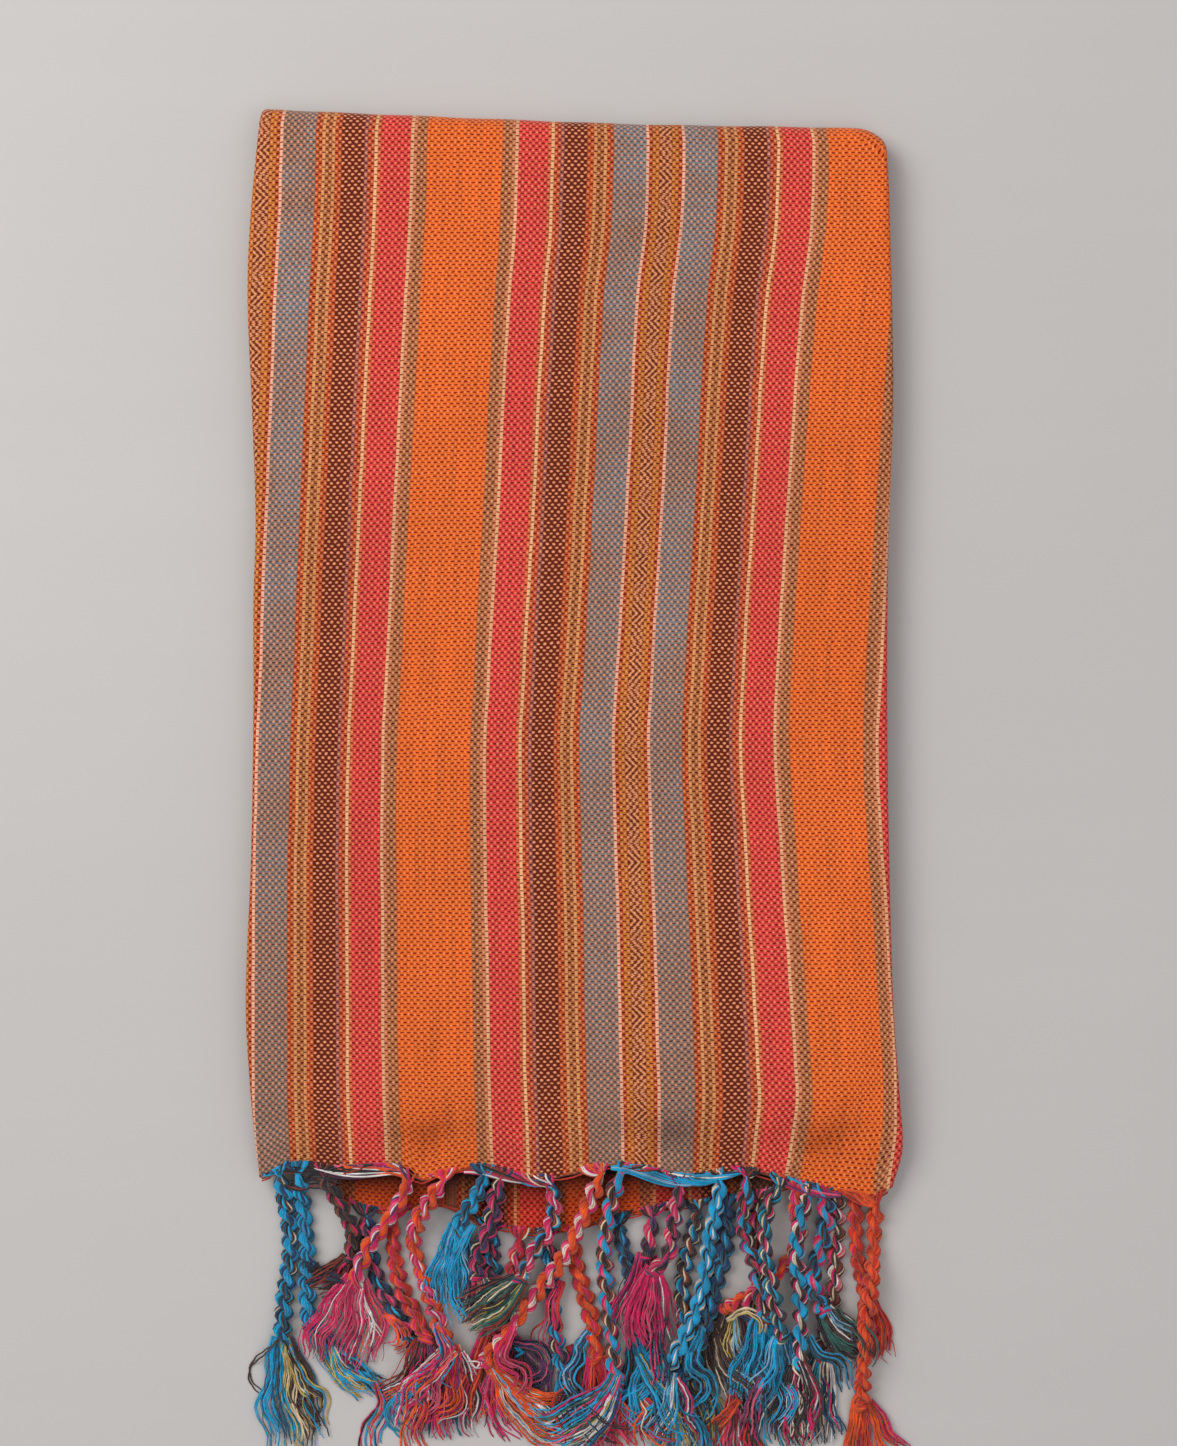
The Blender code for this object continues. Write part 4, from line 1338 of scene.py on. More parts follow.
class Settling:
    """Lays the strands on the floor, on the cloth and on each other, as the solids lie."""

    # How steeply a strand climbs, and how far it stays clear of the others and of the board
    CLIMB, CLEARANCE, TIP = 0.55, 0.8, 0.4
    # The step along a strand, and how far away others are looked for
    FINE_STEP, REACH = 1.5, 9.0
    # How far a loose lock sinks in between the others
    SINK = 1.6

    def fine_route(self, strand: Strand) -> list[tuple[Vector, float, float]]:
        """A strand at close steps.

        Args:
            strand: the strand.

        Returns:
            (place, radius, distance) at each step.
        """
        fine, passed = [], 0.0
        for i, (one, other) in enumerate(zip(strand.route, strand.route[1:])):
            length = (other - one).length
            steps = max(2, ceil(length / self.FINE_STEP))
            for k in range(steps):
                t = k / steps
                radius = strand.radii[i] + (strand.radii[i + 1] - strand.radii[i]) * t
                fine.append((one.lerp(other, t), radius, passed + length * t))
            passed += length
        fine.append((strand.route[-1], strand.radii[-1], passed))
        return fine

    def lowest(self, place: Vector, radius: float, floor: Callable, laid: list, tree: KDTree) -> float:
        """The lowest that a strand's middle can lie at a place.

        Args:
            place: the place.
            radius: the strand's radius there.
            floor: the lowest height at a place for a radius.
            laid: what lies there already.
            tree: the tree that finds it.

        Returns:
            The height.
        """
        need = max(radius + self.TIP, floor(place, radius))
        for _, index, far in tree.find_range((place.x, place.y, 0), self.REACH):
            _, other_radius, other_height = laid[index - 1]
            reach = radius + other_radius + self.CLEARANCE
            if far < reach:
                need = max(need, other_height + sqrt(reach**2 - far**2))
        return need

    @staticmethod
    def tree_of(laid: list) -> KDTree:
        """The tree that finds what is laid near a place.

        Args:
            laid: the (place, radius, height) of all that is laid.

        Returns:
            The tree. Its first entry is far away, so that it is never empty.
        """
        tree = KDTree(len(laid) + 1)
        tree.insert((0, 1000.0, 0), 0)
        for index, (place, _, _) in enumerate(laid):
            tree.insert((place.x, place.y, 0), index + 1)
        tree.balance()
        return tree

    def strew(self, strand: Strand, floor: Callable, laid: list) -> None:
        """Lays one loose lock softly over what lies there already.

        Args:
            strand: the lock, which gets its heights.
            floor: the lowest height at a place for a radius.
            laid: what lies there already.
        """
        fine, tree = self.fine_route(strand), self.tree_of(laid)
        needs = [(f[2], self.lowest(f[0], f[1], floor, laid, tree) - self.SINK) for f in fine]
        heights = [max(n - self.CLIMB * abs(f[2] - far) for far, n in needs) for f in fine]
        strand.heights = self.route_heights(strand, fine, heights)

    def lay(self, tassels: Sequence[Tassel]) -> list[tuple[Vector, float, float]]:
        """Gives every strand its heights, in the order in which they lie.

        Args:
            tassels: the other end's tassels and then the upper end's.

        Returns:
            The (place, radius, height) of all that is laid.
        """
        laid: list[tuple[Vector, float, float]] = []
        for tassel in tassels:
            tree = self.tree_of(laid)
            strands = (tassel.cord, *tassel.locks)
            fines = [self.fine_route(strand) for strand in strands]
            needs = [
                [self.lowest(place, radius, tassel.floor, laid, tree) for place, radius, _ in fine]
                for fine in fines
            ]
            reach = fines[0][-1][2]
            knot = max(n - self.CLIMB * (reach - f[2]) for n, f in zip(needs[0], fines[0]))
            for fine, need in zip(fines[1:], needs[1:]):
                knot = max(knot, max(n - self.CLIMB * f[2] for n, f in zip(need, fine)))
            ends = [[(0.0, tassel.root_height), (reach, knot)]] + [[(0.0, knot)]] * Tassel.LOCKS
            for strand, fine, need, fixed in zip(strands, fines, needs, ends):
                samples = [(f[2], n) for n, f in zip(need, fine)] + fixed
                heights = [
                    max(n - self.CLIMB * abs(here - there) for there, n in samples)
                    for _, _, here in fine
                ]
                laid += [(place, radius, h) for (place, radius, _), h in zip(fine, heights)]
                strand.heights = self.route_heights(strand, fine, heights)
            tassel.cord.heights[0] = tassel.root_height
            for lock in tassel.locks:
                lock.heights[0] = tassel.cord.heights[-1]
        return laid

    @staticmethod
    def route_heights(strand: Strand, fine: list, heights: list[float]) -> list[float]:
        """The height at each point of the route, the highest of those close to it.

        Args:
            strand: the strand.
            fine: its close steps.
            heights: the height at each close step.

        Returns:
            The heights along the route.
        """
        near = 0.4 * fine[-1][2] / (len(strand.route) - 1)
        passed, found = 0.0, []
        for i, place in enumerate(strand.route):
            if i:
                passed += (place - strand.route[i - 1]).length
            found.append(max(h for h, f in zip(heights, fine) if abs(f[2] - passed) <= near))
        return found


@dataclass
class YarnBasket:
    """Gathers yarns of many dyes and makes one piece of them."""

    finishes: dict[str, Finish]
    yarns: list[tuple[list[Vector], float, float, str]] = field(default_factory=list)
    # Where along its way a yarn starts to thin
    thins_from: float = 0.7

    def put(self, points: list[Vector], radius: float, tip: float, dye: str) -> None:
        """Adds a yarn through points, thinned towards its end to a share of its radius."""
        self.yarns.append((points, radius, tip, dye))

    def make(self, name: str, slot: str) -> Piece:
        """Makes the piece out of every yarn in the basket.

        Args:
            name: the piece's name.
            slot: the record's material slot; not used.

        Returns:
            The piece, closed at both ends of every yarn.
        """
        curve = bpy.data.curves.new(name, "CURVE")
        curve.dimensions = "3D"
        curve.twist_mode = "Z_UP"
        curve.bevel_depth = MM
        curve.bevel_resolution = 0
        curve.use_fill_caps = True
        letters = sorted({yarn[3] for yarn in self.yarns})
        for letter in letters:
            curve.materials.append(self.finishes[letter])
        for points, radius, tip, dye in self.yarns:
            spline = curve.splines.new("POLY")
            spline.points.add(len(points) - 1)
            spline.material_index = letters.index(dye)
            last = len(points) - 1
            for i, point in enumerate(points):
                spline.points[i].co = (*(point * MM), 1)
                thin = 1.0 - (1.0 - tip) * max(0.0, (i / last - self.thins_from) / (1 - self.thins_from))
                spline.points[i].radius = radius * thin
        piece = bpy.data.objects.new(name, curve)
        bpy.context.scene.collection.objects.link(piece)
        Bench.pick(piece)
        bpy.ops.object.convert(target="MESH")
        piece = bpy.context.view_layer.objects.active
        piece.name = name
        bpy.ops.object.mode_set(mode="EDIT")
        bpy.ops.mesh.select_all(action="SELECT")
        bpy.ops.mesh.remove_doubles(threshold=WELD)
        bpy.ops.mesh.normals_make_consistent(inside=False)
        bpy.ops.object.mode_set(mode="OBJECT")
        bpy.ops.object.shade_smooth()
        return piece


@dataclass
class Fringe:
    """One end's fringe: gathered hem yarns, two-ply cords, knots and loose tassels."""

    name: str
    node: str
    shape: FoldedShape
    rows: tuple[CordRow, ...]
    hem: tuple[Row, ...]
    height: Callable[[float, float], float]
    floor: Callable[[Vector, float], float]
    seed: int
    # The plies round the cord's middle, the yarns round a ply's, and a yarn, pale ones finer
    ply_radius: float = 1.52
    yarn_circle: float = 1.16
    yarn_radius: float = 0.5
    pale_share: float = 0.72
    girth: Pair = (1.04, 1.24)
    # How far a turn's length varies, how slack a cord is, and the wave of its slackness
    turn_share: Pair = (0.9, 1.15)
    slack: Pair = (0.1, 0.25)
    slack_wave: float = 6.3
    # A cord starts at this share of its thickness, and is full after this length
    root_share: float = 0.25
    root_length: float = 6.0
    yarns_per_ply: int = 9
    # The length of one turn of the plies and of the yarns
    cord_turn: float = 11.5
    ply_turn: float = 12.0
    # How far down a cord its yarns are still on their way together, and how they get there:
    # the share of the way, and how far above the hem
    lead_length: float = 3.5
    lead_points: int = 10
    lead: tuple[Row, ...] = ((0.0, 1.9), (0.05, 0.9), (0.25, 0.2), (0.6, -0.9), (0.88, -2.1))
    wide_gather: float = 10.0
    crowding: float = 1.6
    # A knot: its yarns, their points and turns, and its radius, roundness, length and tilt
    knot_yarns: int = 6
    knot_points: int = 28
    knot_turns: float = 1.35
    knot_radius: float = 1.7
    knot_round: float = 0.75
    knot_length: float = 3.4
    knot_tilt: Pair = (1.0, 1.7)
    # The loose yarns: how many to a lock, and from how thin to how thick
    yarns_per_lock: int = 12
    loose_radius: Pair = (0.22, 0.44)
    bundle_radius: Pair = (0.32, 0.44)
    stray_radius: float = 0.17
    pick_radius: float = 0.3
    # The steps along a cord, a lock, a loose lock and a stray fibre
    cord_step: float = 1.15
    lock_step: float = 1.45
    loose_step: float = 1.1
    stray_step: float = 2.0
    # A loose yarn's share of its lock's length, its rise, and its crimp's length and size
    yarn_share: Pair = (0.8, 1.06)
    yarn_rise: Pair = (-0.6, 1.8)
    crimp_length: Pair = (3.8, 5.4)
    crimp_size: Pair = (0.04, 0.2)
    # How much its phase, strength and bend are its own, and the bend of a wayward one
    own_phase: Pair = (-0.5, 0.5)
    own_strength: Pair = (0.7, 1.3)
    own_bend: Pair = (-1.2, 1.2)
    wayward_bend: Pair = (-6.0, 6.0)
    # How far a hem yarn sags and rises on its way into its cord
    sag: Pair = (-2.1, 1.9)
    rise: Pair = (-0.3, 1.7)
    # The share of yarns whose dye is drawn by chance, and of those that bend their own way
    mixed: float = 0.4
    wayward: float = 0.15
    # The ranges of a lock's curl: its wave's length, phase and strength, and its bend
    curls: tuple[Row, ...] = ((14.0, 30.0), (0, 6.28), (0.4, 2.0), (-4.5, 4.5))
    # How thick a yarn still is at its end: in a cord or a knot, and in a tassel
    blunt: float = 0.9
    thin: float = 0.6
    strip_offset: float = 1.75
    # The last weft yarns: how far above the hem, and the dye
    picks: tuple[tuple[float, str], ...] = ((0.1, "O"), (-0.5, "U"), (-0.9, "R"))
    bundles: tuple[tuple[float, float, float, str], ...] = ()
    tassels: list[Tassel] = field(default_factory=list)
    loose: list[tuple[Strand, str]] = field(default_factory=list)
    baskets: dict[str, YarnBasket] = field(default_factory=dict)
    chance: random.Random = field(init=False)

    def __post_init__(self) -> None:
        """Sets up the fringe's own chance."""
        self.chance = random.Random(self.seed)

    def lay_out(self) -> None:
        """Lays out every cord from its root in the strip along the hem."""
        for row in self.rows:
            y = smooth_value(self.hem, row.root_x)
            root = (y - self.strip_offset, self.height(row.root_x, y) - self.shape.wall / 2)
            self.tassels.append(Tassel(row, root, self.floor))

    def rest(self, point: Vector, lowest: float = 0.55) -> Vector:
        """Keeps a yarn's middle from sinking into the board."""
        point.z = max(point.z, lowest)
        return point

    @staticmethod
    def frames(points: list[Vector], step: float) -> list[tuple[Vector, Vector, Vector, float]]:
        """Even steps along a smooth line.

        Args:
            points: what the line goes through.
            step: about how long a step is.

        Returns:
            (place, sideways, upwards, distance) at each step.
        """
        length = sum((b - a).length for a, b in zip(points, points[1:]))
        count = max(8, round(length / step))
        dense = through(points, count)
        found, passed = [], 0.0
        for i, place in enumerate(dense):
            ahead = (dense[min(i + 1, count - 1)] - dense[max(i - 1, 0)]).normalized()
            sideways = ahead.cross(Vector((0, 0, 1))).normalized()
            if i:
                passed += (place - dense[i - 1]).length
            found.append((place, sideways, sideways.cross(ahead), passed))
        return found

    def gathered(self, row: CordRow, share: float) -> list[Vector]:
        """Where a hem yarn runs on its way into its cord's root.

        Args:
            row: the cord's table row.
            share: the yarn's place in the gathered width, from 0 to 1.

        Returns:
            Its points, from inside the hem to near the root.
        """
        low, high = row.gather
        if max(-low, high) > self.wide_gather:
            share = share**self.crowding if -low > high else 1 - (1 - share) ** self.crowding
        x = row.root_x + low + share * (high - low)
        away = row.root_x - x
        sag, rise = self.chance.uniform(*self.sag), self.chance.uniform(*self.rise)
        points = []
        for way, drop in self.lead:
            here = x + away * way
            y = smooth_value(self.hem, here)
            lift = -1.0 if way == 0 else rise * (1 - way) + 0.1
            across = sag * sin(pi * way)
            points.append(Vector((here, y + drop + across, self.height(here, y) + lift)))
        return points

    def wind_cord(self, tassel: Tassel) -> None:
        """Winds a cord's two plies out of its gathered yarns.

        Args:
            tassel: the cord with its tassel.
        """
        chance = self.chance
        line = self.frames(tassel.cord.points(), self.cord_step)
        cut = next(i for i, (_, _, _, way) in enumerate(line) if way > self.lead_length)
        plies = tassel.row.plies.split("/")
        start, cord_turn = chance.uniform(0, 2 * pi), self.cord_turn * chance.uniform(*self.turn_share)
        slack, beat = chance.uniform(*self.slack), chance.uniform(0, 6.28)
        girth = chance.uniform(*self.girth)
        count = self.yarns_per_ply * len(plies)
        shares = [(i + 0.5) / count for i in range(count)]
        chance.shuffle(shares)
        for number, ply in enumerate(plies):
            for index in range(self.yarns_per_ply):
                dye = ply[index % len(ply)]
                points = []
                for place, sideways, upwards, way in line:
                    uneven = slack * sin(way / self.slack_wave + beat)
                    turn = start + pi * number + 2 * pi * way / cord_turn + 2 * uneven
                    inner = 2 * pi * (index / self.yarns_per_ply - way / self.ply_turn)
                    full = min(1.0, self.root_share + way / self.root_length)
                    apart = girth * self.ply_radius * full * (1 + uneven)
                    round_it = girth * self.yarn_circle * (1 - 0.6 * abs(uneven))
                    across = apart * cos(turn) + round_it * cos(inner)
                    above = apart * sin(turn) + round_it * sin(inner)
                    points.append(self.rest(place + across * sideways + above * upwards))
                lead = self.gathered(tassel.row, shares.pop()) + points[cut : cut + 1]
                points = through(lead, self.lead_points)[:-1] + points[cut:]
                thickness = self.pale_share if dye in "CW" else 1.0
                self.baskets["cords"].put(points, self.yarn_radius * thickness, self.blunt, dye)

    def tie_knot(self, tassel: Tassel) -> None:
        """Ties the cord's own yarns round its end.

        Args:
            tassel: the cord with its tassel.
        """
        chance, points = self.chance, tassel.cord.points()
        centre = points[-1]
        axis = (points[-1] - points[-2]).normalized()
        sideways = axis.cross(Vector((0, 0, 1))).normalized()
        upwards = sideways.cross(axis)
        yarns = tassel.row.plies.replace("/", "")
        chosen = [yarns[i] for i in chance.sample(range(len(yarns)), self.knot_yarns)]
        tilt = chance.choice((-1, 1)) * chance.uniform(*self.knot_tilt)
        start = chance.uniform(0, 2 * pi)
        for index, dye in enumerate(chosen):
            made = []
            for i in range(self.knot_points):
                t = i / (self.knot_points - 1)
                turn = start + 2 * pi * self.knot_turns * t
                inner = 2 * pi * (index / self.knot_yarns + 1.1 * t)
                reach = self.knot_radius + self.knot_round * cos(inner)
                along = self.knot_length * (t - 0.5) + self.knot_round * sin(inner) + tilt * cos(turn)
                point = centre + axis * along
                point += reach * (cos(turn) * sideways + sin(turn) * upwards)
                made.append(self.rest(point, 0.5))
            self.baskets["cords"].put(made, self.yarn_radius, self.blunt, dye)

    def loosen(self, tassel: Tassel) -> None:
        """Lets the yarns of a tassel fan out and curl.

        Args:
            tassel: the cord with its tassel.
        """
        chance, dyes, count = self.chance, tassel.row.tassel, self.yarns_per_lock
        fan = 3.0 + tassel.row.spread / 3
        for number, lock in enumerate(tassel.locks):
            line = self.frames(lock.points(), self.lock_step)
            curl = self.lock_curl()
            for k in range(count):
                made = self.loose_yarn(line, ((k + 0.5) / count - 0.5) * fan, curl)
                dye = dyes[(number * count + k) * len(dyes) // (Tassel.LOCKS * count)]
                if chance.random() < self.mixed:
                    dye = chance.choice(dyes)
                self.baskets["tassels"].put(made, chance.uniform(*self.loose_radius), self.thin, dye)
            self.stray(lock, chance.choice(dyes))

    def lock_curl(self) -> Row:
        """How one lock curls.

        Returns:
            Its wave's length, phase and strength, and its bend.
        """
        return tuple(self.chance.uniform(low, high) for low, high in self.curls)

    def loose_yarn(self, line: list, aside: float, curl: Row) -> list[Vector]:
        """One curling yarn of a lock.

        Args:
            line: the lock's frames.
            aside: how far the yarn lies to the side at the lock's end.
            curl: how the whole lock curls.

        Returns:
            The yarn's points.
        """
        chance, length = self.chance, line[-1][3]
        stop = length * chance.uniform(*self.yarn_share)
        lift = chance.uniform(*self.yarn_rise)
        wave, phase = curl[0], curl[1] + chance.uniform(*self.own_phase)
        crimp, beat = chance.uniform(*self.crimp_length), chance.uniform(*self.crimp_size)
        strength = curl[2] * chance.uniform(*self.own_strength)
        bend = curl[3] + chance.uniform(*self.own_bend)
        if chance.random() < self.wayward:
            bend += chance.uniform(*self.wayward_bend)
        made = []
        for place, sideways, upwards, way in line:
            if way > stop and len(made) > 2:
                break
            t = way / length
            across = aside * (0.35 + 0.65 * min(1.0, 1.6 * t)) + bend * t * t
            across += strength * min(1.0, 2 * t) * sin(2 * pi * way / wave + phase)
            across += beat * sin(2 * pi * way / crimp + 3 * phase)
            above = lift * (0.3 + 0.7 * sin(pi * min(1.0, t)))
            above += beat * cos(2 * pi * way / crimp + phase)
            made.append(self.rest(place + across * sideways + above * upwards))
        return made

    def strew(self) -> None:
        """Lays the loose locks and loops that cross the tassels."""
        for strand, dyes in self.loose:
            line = self.frames(strand.points(), self.loose_step)
            count = 2 * len(dyes) + (2 if len(dyes) > 2 else 0)
            curl = self.lock_curl()
            for k in range(count):
                aside = ((k + 0.5) / count - 0.5) * (0.7 * count + 0.6)
                made = self.loose_yarn(line, aside, curl)
                radius = self.chance.uniform(*self.loose_radius)
                self.baskets["wisps"].put(made, radius, 0.7, dyes[k % len(dyes)])

    def stray(self, lock: Strand, dye: str) -> None:
        """Adds a thin loose fibre that loops out of a lock.

        Args:
            lock: the lock.
            dye: the fibre's dye.
        """
        line = self.frames(lock.points(), self.stray_step)
        out, phase = self.chance.uniform(-4.5, 4.5), self.chance.uniform(0, 2 * pi)
        made = []
        for place, sideways, upwards, way in line:
            t = way / line[-1][3]
            across = out * sin(pi * t) + 0.9 * sin(way / 2.1 + phase) * t
            made.append(self.rest(place + across * sideways + upwards * (1.2 * sin(pi * t) + 0.4), 0.3))
        self.baskets["tassels"].put(made, self.stray_radius, 0.8, dye)

    def last_picks(self) -> None:
        """Runs the last weft yarns loosely along the hem."""
        margin, step, sunk = 6, 2.4, 0.4
        start, stop = self.hem[0][0] + margin, self.hem[-1][0] - margin
        count = round((stop - start) / step)
        for rise, dye in self.picks:
            phase, made = self.chance.uniform(0, 6), []
            for i in range(count + 1):
                x = start + (stop - start) * i / count
                y = smooth_value(self.hem, x)
                off = 0.35 * sin(x / 2.9 + phase) + 0.4 * sin(x / 11 + 2 * phase)
                made.append(Vector((x, y + rise + off, self.height(x, y) - sunk + 0.5 * off)))
            self.baskets["cords"].put(made, self.pick_radius, self.blunt, dye)

    def bundle(self, row: tuple[float, float, float, str]) -> None:
        """Gathers yarns into a loose bundle along the hem.

        Args:
            row: where along the hem it starts and stops, its thickness and its dyes.
        """
        start, stop, thick, dyes = row
        crowd, step, below = 7, 1.5, 0.9
        yarns, count = round(crowd * thick), round(abs(stop - start) / step)
        for k in range(yarns):
            reach = thick * sqrt((k + 0.5) / yarns)
            turn, wind, made = 2.4 * k, self.chance.uniform(1.2, 2.0), []
            for i in range(count + 1):
                t = i / count
                x = start + (stop - start) * t
                y = smooth_value(self.hem, x) - below
                full = 0.3 + 0.7 * sin(pi * t)
                across = reach * full * cos(turn + wind * t) - 0.9 * sin(pi * t)
                above = 0.7 * reach * full * sin(turn + wind * t) + 0.3
                made.append(Vector((x, y + across, self.height(x, y) + above)))
            radius = self.chance.uniform(*self.bundle_radius)
            self.baskets["cords"].put(made, radius, 0.8, dyes[k % len(dyes)])

    def make(self, finishes: dict[str, Finish]) -> list[Piece]:
        """Makes the fringe's cords with their knots, and its tassels.

        Args:
            finishes: the yarn finishes by their letters.

        Returns:
            The cords and the tassels, which stand for the fringe's solid.
        """
        self.baskets = {part: YarnBasket(finishes) for part in ("cords", "tassels", "wisps")}
        self.last_picks()
        for row in self.bundles:
            self.bundle(row)
        for tassel in self.tassels:
            self.wind_cord(tassel)
            self.tie_knot(tassel)
            self.loosen(tassel)
        self.strew()
        pieces = [
            basket.make(f"{self.name}_{part}", "fringe_yarn")
            for part, basket in self.baskets.items()
            if basket.yarns
        ]
        for piece in pieces:
            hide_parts(self.node)
        return pieces


# Each cord's root, three places along it, its tassel's tip and width, the hem that it
# gathers, and the dyes of its two plies and of its tassel
FRONT_ROWS = tuple(CordRow(*row) for row in (
    (-106, (-103, -158), (-105, -178), (-106, -193), (-100, -236), 18, (-7, 3), "TTENT/EKTBC", "TTTEBYBC"),
    (-100, (-97, -160), (-97, -176), (-96, -188), (-69, -213), 8, (-5, 5), "TTETT/ETNTE", "YYKTTTTE"),
    (-91, (-83, -147), (-80, -155), (-81, -164), (-93, -178), 8, (-12, 20), "KKBKU/KBUMK", "KUKMK"),
    (-59, (-67, -149), (-75, -160), (-79, -171), (-83, -204), 24, (-30, 3), "OOMOO/MPWVM", "MMPMPVMOW"),
    (-47, (-58, -154), (-54, -174), (-45, -196), (-59, -223), 18, (-6, 5), "OOROM/MPMWO", "MOPWOMOO"),
    (-32, (-36, -142), (-40, -147), (-42, -152), (-45, -182), 10, (-6, 3), "TTETT/EKTNE", "TTTTTTEL"),
    (-27, (-31, -153), (-35, -161), (-35, -171), (-33, -186), 8, (-3, 5), "KMNKC/MPKVN", "KNMPCE"),
    (-8, (-8, -150), (-16, -163), (-20, -171), (-42, -185), 10, (-27, 1), "MPMWM/TNKUC", "GKGCYKGU"),
    (10, (-3, -161), (-21, -185), (-32, -200), (0, -224), 7, (-10, 2), "OOROO/MPWCM", "OOOOWLCO"),
    (16, (11, -156), (12, -181), (15, -208), (-11, -233), 10, (-1, 15), "TTTMP/BKUCM", "TNMMWGYT"),
    (38, (36, -149), (34, -161), (28, -168), (29, -197), 17, (-6, 4), "KBMVK/MPMCN", "MMPMMVMW"),
    (53, (49, -156), (45, -178), (33, -204), (23, -228), 13, (-22, 1), "TTTTE/WTKTC", "TTTTETWL"),
    (79, (81, -158), (71, -171), (56, -182), (63, -211), 14, (-6, 4), "OORMO/MPRCM", "BBKBCYBL"),
    (62, (61, -153), (65, -165), (68, -184), (62, -215), 12, (-6, 5), "KUMKC/TTBNM", "ETTTNLTT"),
    (74, (69, -147), (69, -164), (75, -191), (70, -220), 13, (-5, 4), "EKTGC/BKMCN", "TTTTLTEE"),
    (84, (80, -156), (81, -174), (81, -202), (75, -232), 12, (-5, 4), "TTTEL/BKMWC", "BKBUMWBC"),
    (91, (90, -156), (86, -172), (90, -182), (103, -202), 9, (-20, 3), "MPTTM/KNTBE", "GKBGLWKB"),
    (109, (108, -160), (105, -189), (104, -216), (112, -243), 13, (-14, 4), "ROROO/ORROU", "OOROORMO"),
))

UNDER_ROWS = tuple(CordRow(*row) for row in (
    (-76, (-73, -167), (-67, -180), (-54, -202), (-49, -230), 15, (-6, 6), "KNEKT/MPVKB", "EEKMTEMK"),
    (-65, (-66, -157), (-63, -174), (-54, -192), (-62, -219), 13, (-6, 6), "RROMR/OMRUM", "MUKMRMKV"),
    (-29, (-30, -163), (-27, -181), (-20, -199), (-18, -221), 14, (-8, 4), "TNKTE/KVBMK", "VKVNKUCV"),
    (-20, (-21, -164), (-25, -178), (-29, -190), (-38, -225), 14, (-4, 4), "RMRUM/MPRCM", "RMUMRKOM"),
    (-10, (-8, -174), (-7, -192), (-3, -208), (4, -232), 12, (-5, 4), "KMVKC/TNTEM", "TTENTKEL"),
    (-1, (1, -168), (6, -186), (8, -200), (14, -237), 13, (-4, 5), "OORRO/RMROU", "RMRPMROM"),
    (16, (17, -158), (21, -174), (23, -190), (29, -225), 14, (-7, 5), "EEKNE/KETNK", "EKTEGKTE"),
    (28, (28, -151), (27, -157), (26, -163), (21, -192), 9, (-5, 6), "MPMCM/KVKBN", "MMVKPMKM"),
    (45, (42, -158), (39, -174), (40, -194), (43, -229), 12, (-7, 4), "BKBCU/TENCB", "BBKCEYTB"),
    (55, (54, -163), (46, -189), (36, -213), (46, -251), 16, (-5, 5), "ENEKN/NKETE", "TTYTYCTE"),
    (66, (67, -178), (62, -199), (59, -214), (63, -247), 12, (-5, 8), "BKMKC/KUMPB", "MRWPKMBR"),
    (95, (94, -174), (91, -190), (89, -199), (83, -234), 13, (-8, 4), "BCBUM/CMKWP", "EGTKBGWC"),
    (102, (102, -160), (104, -171), (106, -180), (111, -203), 9, (-4, 4), "RORRR/RUROM", "RRORRMRO"),
))


